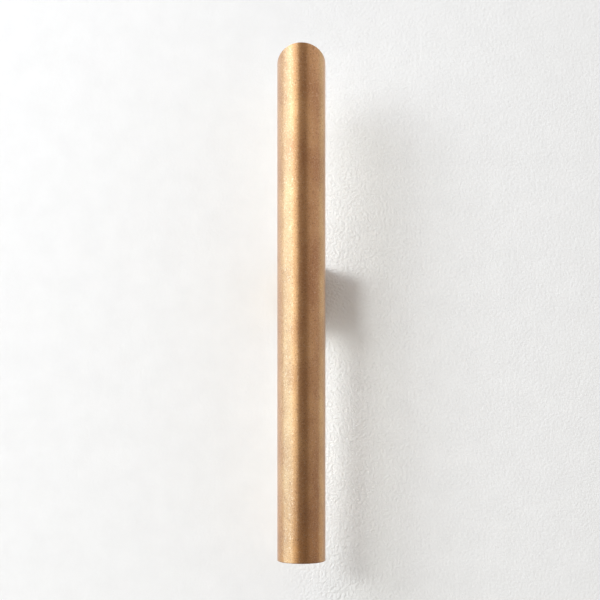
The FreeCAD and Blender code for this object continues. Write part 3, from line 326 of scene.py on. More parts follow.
def blasted_brass(name, brass):
    """Brass, bead-blasted, left to darken and then lacquered.

    To the eye it is a satin metal with a soft bloom of brown, a fine sparkling grain with small pale
    flecks, a deeper band along the tube's very foot, and a duller, browner inside. Towards the foot it
    is painted warmer and a little darker, as painted shade for its dimmer highlight there. The lacquer
    whitens its bright places and its sides."""
    lacquer = {"Coat Weight": 1.0, "Coat Roughness": brass.roughness, "Coat IOR": 1.55}
    material, tree, shader, place = new_finish(
        name, Metallic=1.0, **{"Specular Tint": brass.edge}, **lacquer
    )
    where = place.outputs["Object"]
    across, back, up = add_node(tree, "ShaderNodeSeparateXYZ", (where,)).node.outputs
    bloom = pattern(tree, where, brass.bloom, detail=4.0, stretch=(1.0, 1.0, brass.bloom_stretch))
    # Real blasting leaves a finer grain than this, which is drawn as coarse as it needs to show.
    grain = pattern(tree, where, brass.grain, detail=3.0)
    fleck_scale = 1 / (brass.fleck_gap * brass.grain)
    from_fleck = add_node(
        tree, "ShaderNodeTexVoronoi", {"Vector": where, "Scale": fleck_scale}, feature="F1"
    )

    # Where in its noise each colour starts and where it is full, and its share there.
    bloom_span = (0.35, 0.68)
    fleck_span, fleck_share = (0.20, 0.08), 0.50
    pale_span, pale_share = (0.56, 0.70), 0.55
    deep_span, deep_share = (0.44, 0.30), 0.60
    foot = TUBE_LOW.z
    colour = brass.brass
    # The first tint is painted shade: warmer brass towards the foot, for the dimmer highlight there.
    for spread, tint in (
        ((up, foot + brass.foot_shade_from, foot + brass.foot_shade_full), brass.foot_shade),
        ((bloom, *bloom_span), brass.patina),
        ((from_fleck, *fleck_span, 0.0, fleck_share), brass.pale),
        ((grain, *pale_span, 0.0, pale_share), brass.pale),
        ((grain, *deep_span, 0.0, deep_share), brass.deep),
        # The last tint darkens a band along the very foot.
        ((up, foot + brass.foot_line_full, foot + brass.foot_line, deep_share, 0.0), brass.deep),
    ):
        amount = add_node(tree, RANGE, spread)
        colour = add_node(tree, MIX, {0: amount, 6: colour, 7: tint}, data_type="RGBA")

    inside = inside_of_tube(tree, across, back)
    inside_bloom = (0.4, 0.6)
    amount = add_node(tree, RANGE, (bloom, *inside_bloom))
    inside_colour = add_node(tree, MIX, {0: amount, 6: brass.patina, 7: brass.deep}, data_type="RGBA")
    colour = add_node(tree, MIX, {0: inside, 6: colour, 7: inside_colour}, data_type="RGBA")
    tree.links.new(colour, shader.inputs["Base Color"])

    # The raised grain is rubbed a little smoother than the rest.
    rubbing = 0.03
    rough_span = (brass.roughness + rubbing, brass.roughness - rubbing)
    rough = add_node(tree, RANGE, (grain, *NOISE_SPAN, *rough_span))
    duller = add_node(tree, MATH, (inside, brass.inside_roughness), operation="MULTIPLY")
    rough = add_node(tree, MATH, (rough, duller), operation="ADD")
    tree.links.new(rough, shader.inputs["Roughness"])
    dapples = pattern(tree, where, brass.dapple)
    waves = add_node(tree, MATH, (dapples, brass.dapple_rise), operation="MULTIPLY")
    height = add_node(tree, MATH, (grain, waves), operation="ADD")
    raise_grain(tree, shader, height, brass.grain_depth)
    return material


def inside_of_tube(tree, across, back):
    """1 within the tube's wall and 0 on its outside."""
    starts, ends = TUBE_RADIUS - 0.6 * MM, TUBE_RADIUS - 1.0 * MM
    across = add_node(tree, MATH, (across, 2.0), operation="POWER")
    back = add_node(tree, MATH, (back, AXIS_Y), operation="SUBTRACT")
    back = add_node(tree, MATH, (back, 2.0), operation="POWER")
    both = add_node(tree, MATH, (across, back), operation="ADD")
    from_axis = add_node(tree, MATH, (both,), operation="SQRT")
    return add_node(tree, RANGE, (from_axis, ends, starts, 1.0, 0.0))


def geometry_tree(name, counts, lengths):
    """Geometry tree and its named inputs: counts, and lengths in metres."""
    tree = bpy.data.node_groups.new(name, "GeometryNodeTree")
    tree.interface.new_socket("Geometry", in_out="OUTPUT", socket_type="NodeSocketGeometry")
    for label, count in counts.items():
        tree.interface.new_socket(label, in_out="INPUT", socket_type="NodeSocketInt").default_value = count
    for label, length in lengths.items():
        socket = tree.interface.new_socket(label, in_out="INPUT", socket_type="NodeSocketFloat")
        socket.subtype = "DISTANCE"
        socket.default_value = length
    return tree, tree.nodes.new("NodeGroupInput").outputs


def grown_piece(name, tree, forms, material):
    """Plain mesh object with one material, from what a geometry tree joins."""
    bundle = tree.nodes.new("GeometryNodeJoinGeometry")
    for form in forms:
        tree.links.new(form, bundle.inputs[0])
    plain = add_node(tree, "GeometryNodeRealizeInstances", {"Geometry": bundle.outputs[0]})
    coated = add_node(tree, "GeometryNodeSetMaterial", {"Geometry": plain, "Material": material})
    tree.links.new(coated, tree.nodes.new("NodeGroupOutput").inputs[0])
    piece = bpy.data.objects.new(name, bpy.data.meshes.new(name + "_seed"))
    bpy.context.scene.collection.objects.link(piece)
    modifier = piece.modifiers.new(name, "NODES")
    modifier.node_group = tree
    for socket in tree.interface.items_tree:
        if socket.in_out == "INPUT":
            modifier[socket.identifier] = socket.default_value
    graph = bpy.context.evaluated_depsgraph_get()
    grown = bpy.data.meshes.new_from_object(piece.evaluated_get(graph), depsgraph=graph)
    piece.modifiers.remove(modifier)
    piece.data = grown
    if not len(grown.polygons):
        raise RuntimeError(name + " has no faces")
    return piece


def ring_of(tree, form, count, first_turn=0.0):
    """This many copies of a form, turned evenly about the z axis."""
    points = add_node(tree, "GeometryNodePoints", {"Count": count})
    index = add_node(tree, "GeometryNodeInputIndex")
    share = add_node(tree, MATH, (index, count), operation="DIVIDE")
    turn = add_node(tree, MATH, (share, math.tau), operation="MULTIPLY")
    turn = add_node(tree, MATH, (turn, first_turn), operation="ADD")
    facing = add_node(tree, "ShaderNodeCombineXYZ", {"Z": turn})
    inputs = {"Points": points, "Instance": form, "Rotation": facing}
    return add_node(tree, "GeometryNodeInstanceOnPoints", inputs)


def reshaped(tree, form, x, y, z):
    """Form whose points go to these places."""
    place = add_node(tree, "ShaderNodeCombineXYZ", (x, y, z))
    return add_node(tree, "GeometryNodeSetPosition", {"Geometry": form, "Position": place})


def moved(tree, form, x=0.0, z=0.0, scale=(1.0, 1.0, 1.0)):
    """Form moved outwards and up, after it is scaled."""
    place = add_node(tree, "ShaderNodeCombineXYZ", {"X": x, "Z": z})
    inputs = {"Geometry": form, "Translation": place, "Scale": scale}
    return add_node(tree, "GeometryNodeTransform", inputs)


def point_axes(tree):
    """x, y and z of each point."""
    place = add_node(tree, "GeometryNodeInputPosition")
    return add_node(tree, "ShaderNodeSeparateXYZ", (place,)).node.outputs


def lamp_reach(piece):
    """Lowest and highest point of a lamp's piece above the lamp's foot, and its radius."""
    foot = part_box("upper_lamp_base")[0].z
    low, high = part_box("upper_lamp_" + piece)
    return low.z - foot, high.z - foot, (high.x - low.x) / 2


def place_on_lamp(piece, end):
    """Moves a piece from the lamp's own frame, z = 0 at its foot, to its end of the tube."""
    low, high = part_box(end + "_lamp_base")
    side, foot = (1, low.z) if end == "upper" else (-1, high.z)
    for vertex in piece.data.vertices:
        x, y, z = vertex.co
        vertex.co = (x, AXIS_Y + side * y, foot + side * z)
    piece.data.update()
    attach(piece, end + "_lamp")


def cooling_fins(name, lamp, material):
    """Ring of upright fins that reach from the shell's wall out to a smooth bell."""
    shell_low, shell_high, rim_radius = lamp_reach("shell")
    neck_radius = lamp_reach("base")[2]
    neck_top = shell_low + lamp.neck_length
    high = shell_high - lamp.rim_height
    tree, given = geometry_tree(
        name,
        {"Fins": lamp.fins},
        {
            "Root thickness": lamp.fin_root,
            "Edge thickness": lamp.fin_edge,
            "Set": lamp.fin_set,
            "Low": shell_low + lamp.collar_gap,
            "High": high,
            "Bell foot": lamp.bell_foot,
            "Neck radius": neck_radius,
            "Neck top": neck_top,
            "Bend height": neck_top + lamp.bend_rise * (high - neck_top),
            "Bend radius": neck_radius + lamp.bend_reach * (rim_radius - neck_radius),
            "Rim radius": rim_radius,
        },
    )
    block = add_node(
        tree, "GeometryNodeMeshCube", {"Size": (1, 1, 1), "Vertices X": 2, "Vertices Y": 2, "Vertices Z": 16}
    )
    x, y, z = point_axes(tree)
    outward = add_node(tree, MATH, (x, 0.5), operation="ADD")
    rise = add_node(tree, MATH, (z, 0.5), operation="ADD")
    height = add_node(tree, RANGE, (rise, 0.0, 1.0, given["Low"], given["High"]))
    # The shell's wall widens faster below its bend than above it.
    bend = (given["Bend height"], given["Bend radius"])
    lower = (height, given["Neck top"], bend[0], given["Neck radius"], bend[1])
    upper = (height, bend[0], given["High"], bend[1], given["Rim radius"])
    both = [add_node(tree, RANGE, flare) for flare in (lower, upper)]
    wall = add_node(tree, MATH, both, operation="ADD")
    wall = add_node(tree, MATH, (wall, bend[1]), operation="SUBTRACT")
    root = add_node(tree, MATH, (wall, given["Set"]), operation="SUBTRACT")
    quarter_turn = add_node(tree, MATH, (rise, math.pi / 2), operation="MULTIPLY")
    swell = add_node(tree, MATH, (quarter_turn,), operation="SINE")
    bell = add_node(tree, RANGE, (swell, 0.0, 1.0, given["Bell foot"], given["Rim radius"]))
    thickness = (given["Root thickness"], given["Edge thickness"])
    thickness = add_node(tree, RANGE, (outward, 0.0, 1.0, *thickness))
    reach = add_node(tree, RANGE, (outward, 0.0, 1.0, root, bell))
    side = add_node(tree, MATH, (y, thickness), operation="MULTIPLY")
    fin = reshaped(tree, block, reach, side, height)
    return grown_piece(name, tree, [ring_of(tree, fin, given["Fins"])], material)


def lens_array(name, lamp, material):
    """Clear moulding over the LEDs: a cup with a domed middle for each, their disc and its three legs."""
    board_top = lamp_reach("led_board")[1]
    low = lamp_reach("led_chips")[1] + lamp.cup_gap
    tree, given = geometry_tree(
        name,
        {"Optics": lamp.optics, "Legs": lamp.legs},
        {
            "Ring": lamp.cup_ring,
            "Low": low,
            "Height": lamp.cup_height,
            "Foot": lamp.cup_foot,
            "Mouth": lamp.cup_mouth,
            "Disc radius": lamp.disc_radius,
            "Disc thickness": lamp.disc_thickness,
            "Leg ring": lamp.leg_ring,
            "Leg radius": lamp.leg_radius,
            "Board top": board_top,
        },
    )
    mouth_height = add_node(tree, MATH, (given["Low"], given["Height"]), operation="ADD")
    cone = add_node(
        tree,
        "GeometryNodeMeshCone",
        {
            "Vertices": 40,
            "Side Segments": 8,
            "Radius Top": given["Mouth"],
            "Radius Bottom": given["Foot"],
            "Depth": given["Height"],
        },
    )
    x, y, z = point_axes(tree)
    rise = add_node(tree, MATH, (z, given["Height"]), operation="DIVIDE")
    half_turn = add_node(tree, MATH, (rise, math.pi), operation="MULTIPLY")
    bulge = add_node(tree, MATH, (half_turn,), operation="SINE")
    bulge = add_node(tree, MATH, (bulge, lamp.cup_swell), operation="MULTIPLY")
    swell = add_node(tree, MATH, (bulge, 1.0), operation="ADD")
    side, front = (add_node(tree, MATH, (axis, swell), operation="MULTIPLY") for axis in (x, y))
    cup = reshaped(tree, cone, side, front, z)
    cups = ring_of(tree, moved(tree, cup, given["Ring"], given["Low"]), given["Optics"])
    dome_radius = add_node(tree, MATH, (given["Mouth"], lamp.dome_width), operation="MULTIPLY")
    size = {"Segments": 32, "Rings": 12, "Radius": dome_radius}
    dome = add_node(tree, "GeometryNodeMeshUVSphere", size)
    dome = moved(tree, dome, given["Ring"], mouth_height, (1.0, 1.0, lamp.dome_rise))
    domes = ring_of(tree, dome, given["Optics"])
    size = {"Vertices": 96, "Radius": given["Disc radius"], "Depth": given["Disc thickness"]}
    disc = add_node(tree, "GeometryNodeMeshCylinder", size)
    disc_middle = add_node(tree, MATH, (mouth_height, given["Disc thickness"]), operation="SUBTRACT")
    disc = moved(tree, disc, 0.0, disc_middle)
    leg_length = add_node(tree, MATH, (disc_middle, given["Board top"]), operation="SUBTRACT")
    size = {"Vertices": 24, "Radius": given["Leg radius"], "Depth": leg_length}
    leg = add_node(tree, "GeometryNodeMeshCylinder", size)
    half_length = add_node(tree, MATH, (leg_length, 0.5), operation="MULTIPLY")
    leg_middle = add_node(tree, MATH, (given["Board top"], half_length), operation="ADD")
    leg = moved(tree, leg, given["Leg ring"], leg_middle)
    # The first leg stands midway between two cups.
    legs = ring_of(tree, leg, given["Legs"], math.pi / lamp.optics)
    return grown_piece(name, tree, [cups, domes, disc, legs], material)


class WALLLIGHT_OT_stage(bpy.types.Operator):
    """Wall, floor, lights, room and camera"""

    bl_idname = "walllight.stage"
    bl_label = "Studio"

    def execute(self, context):
        stage = context.scene.wall_light_stage
        low = -1.5
        side, high, y = 1.6, 1.6, 0.3 * MM
        wall = add_panel("wall", [(-side, y, low), (side, y, low), (side, y, high), (-side, y, high)])
        wall.data.materials.append(painted_plaster(stage))
        side, near, far = 3.0, -4.0, 2.0
        corners = [(-side, far, low), (-side, near, low), (side, near, low), (side, far, low)]
        floor = add_panel("floor", corners)
        floor.data.materials.append(matt_floor(stage))
        light_front(stage, wall, floor)
        light_wall(stage, wall)
        light_edges(stage)
        light_room(context.scene, stage)
        place_camera(context.scene, stage)
        context.scene.view_settings.view_transform = "Standard"
        return {"FINISHED"}


def painted_plaster(stage):
    """Wall paint rolled on plaster: matt, uneven in tone by a trace, with long waves and a stipple."""
    # Spans of x and z, in metres, over which the stipple changes.
    behind_tube = (-0.03, 0.04)
    beside_tube = (0.05, 0.16)
    upper_half = (0.05, 0.26)
    stipples_in_wave = 9
    material, tree, shader, place = new_finish("painted plaster, rolled", Roughness=0.85, IOR=1.45)
    where = place.outputs["Object"]
    stipple = pattern(tree, where, stage.stipple, detail=4.0)
    wave = pattern(tree, where, stage.stipple * stipples_in_wave)
    tone = mottled(tree, wave, NOISE_SPAN, stage.wall, 0.03)
    tree.links.new(tone, shader.inputs["Base Color"])
    # The plaster is smooth on the left, rough on the right, and roughest low down beside the tube.
    across, _, up = add_node(tree, "ShaderNodeSeparateXYZ", (where,)).node.outputs
    plain = add_node(tree, RANGE, (across, *behind_tube, stage.left_stipple, stage.right_stipple))
    extra = add_node(tree, RANGE, (across, *beside_tube, stage.tube_stipple, 0.0))
    for change in ((across, *behind_tube), (up, *upper_half, 1.0, 0.0)):
        share = add_node(tree, RANGE, change)
        extra = add_node(tree, MATH, (share, extra), operation="MULTIPLY")
    strength = add_node(tree, MATH, (plain, extra), operation="ADD")
    height = add_node(tree, MATH, (stipple, 0.5), operation="SUBTRACT")
    height = add_node(tree, MATH, (height, strength), operation="MULTIPLY")
    waves = add_node(tree, MATH, (wave, stage.waves), operation="MULTIPLY")
    height = add_node(tree, MATH, (height, waves), operation="ADD")
    raise_grain(tree, shader, height, stage.stipple_depth)
    show_front_only(tree, shader)
    return material


def matt_floor(stage):
    """Pale screed: matt, with a fine speckle."""
    material, tree, shader, place = new_finish("pale floor, matt screed", Roughness=0.7)
    speckle = pattern(tree, place.outputs["Object"], 4 * MM, detail=3.0)
    tone = mottled(tree, speckle, NOISE_SPAN, stage.floor, 0.06)
    tree.links.new(tone, shader.inputs["Base Color"])
    show_front_only(tree, shader)
    return material


def light_front(stage, wall, floor):
    """Key softbox for everything, and two lit screens that the object alone mirrors."""
    # After its name, each softbox has its bearing, rise, distance, size and power.
    add_softbox("key softbox", -55, 30, 3.0, (1.4, 1.4), stage.key_power, stage.key)
    screen = add_softbox("wide screen", -68, 1, 1.6, (1.63, 2.0), stage.screen_power, stage.screen)
    strip = add_softbox("strip screen", -31, 10, 1.6, (0.75, 1.6), stage.strip_power)
    for light in (screen, strip):
        spare(light, [wall, floor])


def light_wall(stage, wall):
    """Four lights of the wall's own, which make its shadows as light and as soft as they should be."""
    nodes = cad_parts
    mounting = [nodes["mounting_box"], nodes["wall_bracket"]]
    wash = add_softbox("wall softbox", -51, 12, 5.0, (2.3, 2.3), stage.wall_power)
    link_light(wash, [wall], mounting)
    shade = add_softbox("shade softbox", -58, 20, 5.0, (1.6, 1.6), stage.shade_power)
    link_light(shade, [wall], [nodes["outer_tube"], *mounting])
    # The lower half of the tube has a second, narrow shadow, which a flag at its axis throws.
    flagged_bearing = -43
    flag = add_flag("flag", flagged_bearing, 24 * MM, -321 * MM, -21 * MM)
    flagged = add_softbox("flagged softbox", flagged_bearing, 12, 5.0, (1.05, 1.05), stage.flagged_power)
    link_light(flagged, [wall], [flag, *mounting])
    # The glow starts in the tube's axis and meets the wall right of the tube.
    glow_bearing = -26
    turn = math.radians(-glow_bearing)
    beside = Vector((-AXIS_Y * math.tan(turn), 0.0, MIDDLE.z))
    reach = -AXIS_Y / math.cos(turn)
    glow = add_softbox("brass glow", glow_bearing, 0, reach, (0.01, 0.58), stage.glow_power, target=beside)
    link_light(glow, [wall], mounting)


def light_edges(stage):
    """Rim light on the tube, and a softbox that shines through the wall on all but the tube."""
    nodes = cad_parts
    # It stands for the wall's own light, which is brighter beside the tube than paint can show.
    rim = add_softbox("rim light", -118, 5, 1.5, (1.0, 1.2), stage.rim_power, stage.rim)
    link_light(rim, [nodes["outer_tube"]], nodes.values())
    back = add_softbox("back softbox", 165, 21, 1.5, (1.5, 1.5), stage.back_power)
    link_light(back, [node for name, node in nodes.items() if name != "outer_tube"], nodes.values())


def place_camera(scene, stage):
    """Camera that looks level along +y, from the photograph's place."""
    lens = bpy.data.cameras.new("camera")
    lens.sensor_width = 36.0
    lens.lens = stage.camera_lens
    camera = bpy.data.objects.new("camera", lens)
    camera.location = (-stage.camera_left, AXIS_Y - stage.camera_distance, -stage.camera_low)
    camera.rotation_euler = (math.radians(90), 0.0, 0.0)
    scene.collection.objects.link(camera)
    scene.camera = camera


def light_room(scene, stage):
    """Room of pale flats round the light, dark behind the camera, as the wall and the brass see it."""
    lean = 0.6
    flats_height = (0.2, 0.42)
    eye_level = (-0.14, 0.14)
    low_strength, high_strength = 0.7 * stage.room_light, 1.6 * stage.room_light
    world = bpy.data.worlds.new("room")
    scene.world = world
    world.use_nodes = True
    tree = world.node_tree
    tree.nodes.clear()
    outwards = add_node(tree, "ShaderNodeTexCoord").node.outputs["Generated"]
    right, back, up = add_node(tree, "ShaderNodeSeparateXYZ", (outwards,)).node.outputs
    front = add_node(tree, MATH, (back, -1.0), operation="MULTIPLY")
    bearing = add_node(tree, MATH, (right, front), operation="ARCTAN2")
    # The flats and the doorway lean to the left.
    leaning = add_node(tree, MATH, (up, lean), operation="MULTIPLY")
    leaning = add_node(tree, MATH, (bearing, leaning), operation="ADD")
    share = add_node(tree, RANGE, (leaning, -math.pi, math.pi))
    flats = add_node(tree, "ShaderNodeValToRGB", (share,))
    ramp = flats.node.color_ramp.elements
    ramp[0].color = ramp[1].color = stage.right_flats
    for degrees, colour in (
        (-100, stage.left_flats),
        (-42, stage.left_flats),
        (-30, stage.dark_room),
        (4, stage.dark_room),
        (14, stage.doorway),
        (26, stage.doorway),
        (38, stage.right_near),
        (62, stage.right_flats),
    ):
        ramp.new((degrees + 180) / 360).color = colour
    height = add_node(tree, MATH, (up,), operation="ABSOLUTE")
    high_or_low = add_node(tree, RANGE, (height, *flats_height))
    room = add_node(tree, MIX, {0: high_or_low, 6: flats, 7: stage.overhead}, data_type="RGBA")
    # The room is brighter above eye level than below it.
    strength = add_node(tree, RANGE, (up, *eye_level, low_strength, high_strength))
    felt = add_node(tree, "ShaderNodeBackground", {"Color": room, "Strength": strength})
    seen = add_node(tree, "ShaderNodeBackground", {"Color": stage.backdrop, "Strength": 1.0})
    from_camera = add_node(tree, "ShaderNodeLightPath").node.outputs["Is Camera Ray"]
    both = add_node(tree, "ShaderNodeMixShader", (from_camera, felt, seen))
    add_node(tree, "ShaderNodeOutputWorld", {"Surface": both})


def show_front_only(tree, shader):
    """Makes a stage surface clear from behind, so that the light can be seen from there."""
    from_behind = add_node(tree, "ShaderNodeNewGeometry").node.outputs["Backfacing"]
    clear = add_node(tree, "ShaderNodeBsdfTransparent")
    both = add_node(tree, "ShaderNodeMixShader", (from_behind, shader.outputs[0], clear))
    output = next(node for node in tree.nodes if node.type == "OUTPUT_MATERIAL")
    tree.links.new(both, output.inputs["Surface"])


def add_panel(name, corners):
    """Flat stage panel, whose corners go round anticlockwise where it is seen from its front."""
    mesh = bpy.data.meshes.new(name)
    mesh.from_pydata(corners, [], [(0, 1, 2, 3)])
    panel = bpy.data.objects.new(name, mesh)
    bpy.context.scene.collection.objects.link(panel)
    return panel


def add_flag(name, bearing, width, low, high):
    """Unseen upright card at the tube's axis that faces a bearing and only throws a shadow."""
    turn = math.radians(bearing)
    x, y = math.cos(turn) * width / 2, math.sin(turn) * width / 2
    left, right = (-x, AXIS_Y - y), (x, AXIS_Y + y)
    card = add_panel(name, [(*left, low), (*right, low), (*right, high), (*left, high)])
    card.visible_camera = card.visible_diffuse = card.visible_glossy = card.visible_transmission = False
    return card


def add_softbox(name, bearing, rise, distance, size, power, colour=(1.0, 1.0, 1.0), target=MIDDLE):
    """Flat light that faces the target, at degrees right of the camera and above the target."""
    bearing, rise = math.radians(bearing), math.radians(rise)
    level = math.cos(rise)
    direction = Vector((level * math.sin(bearing), -level * math.cos(bearing), math.sin(rise)))
    light = bpy.data.lights.new(name, "AREA")
    light.shape = "RECTANGLE"
    light.size, light.size_y = size
    light.energy = power
    light.color = colour[:3]
    softbox = bpy.data.objects.new(name, light)
    softbox.location = target + direction * distance
    softbox.rotation_euler = (-direction).to_track_quat("-Z", "Y").to_euler()
    softbox.visible_camera = False
    bpy.context.scene.collection.objects.link(softbox)
    return softbox


def link_light(softbox, lit, shading):
    """Keeps a light to these objects, and lets only the second ones shade it."""
    for role, objects in (("receiver", lit), ("blocker", shading)):
        group = bpy.data.collections.new(softbox.name + " " + role)
        for thing in objects:
            group.objects.link(thing)
        setattr(softbox.light_linking, role + "_collection", group)


def spare(softbox, things):
    """Keeps a light off these objects alone."""
    group = bpy.data.collections.new(softbox.name + " spares")
    for thing in things:
        group.objects.link(thing)
    for linked in group.collection_objects:
        linked.light_linking.link_state = "EXCLUDE"
    softbox.light_linking.receiver_collection = group


class WALLLIGHT_OT_tube(bpy.types.Operator):
    """Blasted and lacquered brass of the tube and the box behind it"""

    bl_idname = "walllight.tube"
    bl_label = "Tube and box"

    def execute(self, context):
        brass = context.scene.wall_light_brass
        dress(blasted_brass("brass, bead-blasted and lacquered", brass), "outer_tube", "mounting_box")
        return {"FINISHED"}


class WALLLIGHT_OT_mounting(bpy.types.Operator):
    """Plated steel of the bracket, the carrier and the fixings"""

    bl_idname = "walllight.mounting"
    bl_label = "Mounting"

    def execute(self, context):
        colours = context.scene.wall_light_finishes
        # Zinc plate has a cool grey with a faint spangle and rolling marks along the strip.
        zinc = mottled_finish(
            "sheet steel, zinc-plated", colours.zinc, darkening=0.22, size=0.8 * MM, depth=0.01 * MM,
            rough=(0.42, 0.28), metallic=1.0, stretch=(1, 1, 6),
        )
        dress(zinc, "wall_bracket", "lamp_carrier")
        # Plated screws look brighter than the sheet, with fine turning marks.
        steel = mottled_finish(
            "steel fasteners, zinc-plated", colours.steel, darkening=0.3, size=0.3 * MM, depth=0.01 * MM,
            rough=(0.36, 0.22), metallic=1.0,
        )
        dress(
            steel, "tube_clamp_screws", "tube_clamp_washers", "carrier_nuts", "terminal_wire_screws",
            "terminal_block_screws", "earth_screw", *at_both_ends("lampholder_screws", "lampholder_nuts"),
        )
        # Turned brass keeps a brighter, tighter sheen than the blasted tube.
        turned = mottled_finish(
            "brass, turned", colours.fixing_brass, darkening=0.25, size=0.4 * MM, depth=0.008 * MM,
            rough=(0.34, 0.24), metallic=1.0,
        )
        dress(turned, "box_lock_screws")
        return {"FINISHED"}


class WALLLIGHT_OT_wiring(bpy.types.Operator):
    """Terminal block, leads, clips, grommet and earth tag"""

    bl_idname = "walllight.wiring"
    bl_label = "Wiring"

    def execute(self, context):
        colours = context.scene.wall_light_finishes
        # Moulded nylon is a milky, slightly waxy white with light in its edges.
        nylon = mottled_finish(
            "nylon, moulded", colours.nylon, darkening=0.06, size=0.9 * MM, depth=0.01 * MM,
            rough=(0.5, 0.4), **{"IOR": 1.53, "Subsurface Weight": 0.2, "Subsurface Scale": 2 * MM},
        )
        dress(nylon, "terminal_block_body", "lead_clips")
        # Clean turned brass, the brightest metal in the light.
        bright = mottled_finish(
            "terminal brass, turned", colours.terminal_brass, darkening=0.2, size=0.3 * MM,
            depth=0.006 * MM, rough=(0.3, 0.2), metallic=1.0,
        )
        dress(bright, "terminal_tubes")
        # Soft rubber: near black and dull, with a trace of pale dust.
        rubber = mottled_finish(
            "rubber, moulded", colours.rubber, darkening=-1.7, size=0.5 * MM, depth=0.02 * MM,
            rough=(0.8, 0.62), IOR=1.52,
        )
        dress(rubber, "wire_grommet")
        # Extruded silicone is even in colour with a soft, powdery sheen.
        for shade, colour, lead in (
            ("brown", colours.live, "live_lead"),
            ("blue", colours.neutral, "neutral_lead"),
        ):
            insulation = mottled_finish(
                "silicone insulation, extruded, " + shade, colour, darkening=0.2, size=0.7 * MM,
                depth=0.01 * MM, rough=(0.55, 0.42), **{"IOR": 1.43, "Sheen Weight": 0.15},
            )
            dress(insulation, *at_both_ends(lead))
        dress(earth_insulation(colours), "earth_lead")
        # Tin leaves a soft, slightly cloudy silver.
        tin = mottled_finish(
            "copper, tinned", colours.tin, darkening=0.25, size=0.5 * MM, depth=0.01 * MM,
            rough=(0.45, 0.3), metallic=1.0,
        )
        dress(tin, "earth_tag")
        return {"FINISHED"}


def earth_insulation(colours):
    """Silicone insulation, green with a yellow stripe along the lead."""
    stripe_edge = (0.50, 0.56)
    material, tree, shader, place = new_finish("silicone insulation, extruded, green and yellow", IOR=1.43)
    side = add_node(tree, "ShaderNodeSeparateXYZ", (place.outputs["Normal"],))
    side = add_node(tree, MATH, (side,), operation="ABSOLUTE")
    stripe = add_node(tree, RANGE, (side, *stripe_edge))
    grain = pattern(tree, place.outputs["Object"], 0.7 * MM, detail=3.0)
    both = {0: stripe, 6: colours.earth_yellow, 7: colours.earth_green}
    colour = add_node(tree, MIX, both, data_type="RGBA")
    tree.links.new(colour, shader.inputs["Base Color"])
    gloss = add_node(tree, RANGE, (grain, *NOISE_SPAN, 0.55, 0.42))
    tree.links.new(gloss, shader.inputs["Roughness"])
    raise_grain(tree, shader, grain, 0.01 * MM)
    return material


class WALLLIGHT_OT_lampholders(bpy.types.Operator):
    """Ceramic and contacts of the two lampholders, and the lamps' pins"""

    bl_idname = "walllight.lampholders"
    bl_label = "Lampholders"

    def execute(self, context):
        colours = context.scene.wall_light_finishes
        # Unglazed steatite is a warm matt white with a fine pressed grain.
        steatite = mottled_finish(
            "steatite, pressed and unglazed", colours.steatite, darkening=0.12, size=0.6 * MM,
            depth=0.03 * MM, rough=(0.75, 0.6), IOR=1.6,
        )
        dress(steatite, *at_both_ends("lampholder_front", "lampholder_ring", "lampholder_rear"))
        # Nickel is a warm silver, smooth and rather bright.
        nickel = mottled_finish(
            "strip, nickel-plated", colours.nickel, darkening=0.15, size=0.4 * MM, depth=0.005 * MM,
            rough=(0.3, 0.2), metallic=1.0,
        )
        dress(nickel, *at_both_ends("lampholder_contacts", "lamp_pins"))
        return {"FINISHED"}


class WALLLIGHT_OT_lamps(bpy.types.Operator):
    """Lamp shells, covers, bases and boards"""

    bl_idname = "walllight.lamps"
    bl_label = "Lamps"

    def execute(self, context):
        colours = context.scene.wall_light_finishes
        # Heat-conducting plastic: a chalky white with a fine moulded texture.
        shell = mottled_finish(
            "heat-conducting plastic, moulded", colours.lamp_white, darkening=0.07, size=0.5 * MM,
            depth=0.015 * MM, rough=(0.55, 0.45), IOR=1.55,
        )
        dress(shell, *at_both_ends("lamp_shell", "lamp_base"))
        # Clear polycarbonate with a fine etch that softens what lies behind it.
        cover = mottled_finish(
            "polycarbonate, moulded with a light etch", colours.lens, darkening=0.04, size=0.4 * MM,
            depth=0.01 * MM, rough=(0.22, 0.12), **{"IOR": 1.585, "Transmission Weight": 1.0},
        )
        dress(cover, *at_both_ends("lamp_lens"))
        # Plain stamped aluminium with the sheet's faint rolling lines.
        plate = mottled_finish(
            "aluminium, stamped", colours.aluminium, darkening=0.15, size=0.4 * MM, depth=0.006 * MM,
            rough=(0.4, 0.28), metallic=1.0, stretch=(8, 1, 1),
        )
        dress(plate, *at_both_ends("lamp_led_plate"))
        # White solder mask: smooth, slightly uneven gloss over the copper.
        mask = mottled_finish(
            "solder mask, white", colours.board_white, darkening=0.05, size=1.2 * MM, depth=0.01 * MM,
            rough=(0.4, 0.28), IOR=1.5,
        )
        dress(mask, *at_both_ends("lamp_led_board"))
        # Silicone over phosphor: an even egg yellow with a soft gloss.
        phosphor = mottled_finish(
            "phosphor under silicone", colours.phosphor, darkening=0.12, size=0.3 * MM, depth=0.01 * MM,
            rough=(0.3, 0.2), IOR=1.41,
        )
        dress(phosphor, *at_both_ends("lamp_led_chips"))
        # Green solder mask: darker where it lies over bare board, with the white one's gloss.
        green = mottled_finish(
            "solder mask, green", colours.board_green, darkening=0.3, size=1.0 * MM, depth=0.01 * MM,
            rough=(0.4, 0.28), IOR=1.5,
        )
        dress(green, *at_both_ends("lamp_driver"))
        return {"FINISHED"}


class WALLLIGHT_OT_fins(bpy.types.Operator):
    """Cooling fins round the lamps' shells"""

    bl_idname = "walllight.fins"
    bl_label = "Cooling fins"

    def execute(self, context):
        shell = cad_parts["upper_lamp_shell"].data.materials[0]
        for end in ENDS:
            fins = cooling_fins(end + "_lamp_fins", context.scene.wall_light_lamp, shell)
            place_on_lamp(fins, end)
        return {"FINISHED"}


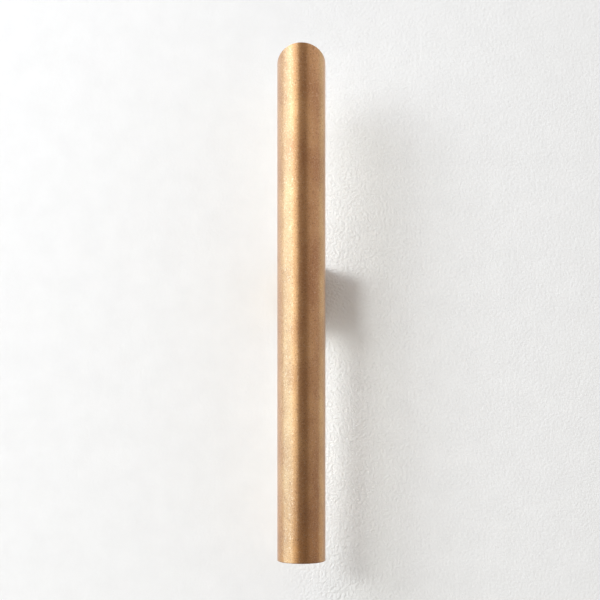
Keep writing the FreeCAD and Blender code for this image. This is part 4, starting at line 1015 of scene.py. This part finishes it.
class WALLLIGHT_OT_optics(bpy.types.Operator):
    """Clear optics between the LEDs and the lamps' covers"""

    bl_idname = "walllight.optics"
    bl_label = "Optics"

    def execute(self, context):
        colours = context.scene.wall_light_finishes
        # Optical acrylic is water-clear and glossy, with a trace of flow in the surface.
        acrylic = mottled_finish(
            "acrylic, moulded clear", colours.acrylic, darkening=0.03, size=1.5 * MM, depth=0.004 * MM,
            rough=(0.08, 0.03), **{"IOR": 1.49, "Transmission Weight": 1.0},
        )
        for end in ENDS:
            optics = lens_array(end + "_lamp_optics", context.scene.wall_light_lamp, acrylic)
            place_on_lamp(optics, end)
        return {"FINISHED"}


class WALLLIGHT_PT_panel(bpy.types.Panel):
    """Buttons that dress the wall light piece by piece"""

    bl_idname = "WALLLIGHT_PT_panel"
    bl_label = "Wall Light"
    bl_space_type = "VIEW_3D"
    bl_region_type = "UI"
    bl_category = "Wall Light"

    def draw(self, context):
        for operator in OPERATORS:
            self.layout.operator(operator.bl_idname)
        for name in GROUPS:
            group = getattr(context.scene, name)
            box = self.layout.box()
            for field in group.__annotations__:
                box.prop(group, field)


GROUPS = {
    "wall_light_brass": WallLightBrass,
    "wall_light_finishes": WallLightFinishes,
    "wall_light_lamp": WallLightLamp,
    "wall_light_stage": WallLightStage,
}
OPERATORS = (
    WALLLIGHT_OT_stage,
    WALLLIGHT_OT_tube,
    WALLLIGHT_OT_mounting,
    WALLLIGHT_OT_wiring,
    WALLLIGHT_OT_lampholders,
    WALLLIGHT_OT_lamps,
    WALLLIGHT_OT_fins,
    WALLLIGHT_OT_optics,
)
CLASSES = (*GROUPS.values(), *OPERATORS, WALLLIGHT_PT_panel)


def register():
    for cls in CLASSES:
        bpy.utils.register_class(cls)
    for name, group in GROUPS.items():
        setattr(bpy.types.Scene, name, bpy.props.PointerProperty(type=group))


def unregister():
    for name in GROUPS:
        delattr(bpy.types.Scene, name)
    for cls in reversed(CLASSES):
        bpy.utils.unregister_class(cls)


def main():
    register()
    for operator in OPERATORS:
        group, name = operator.bl_idname.split(".")
        getattr(getattr(bpy.ops, group), name)()


if __name__ == "__main__":
    main()
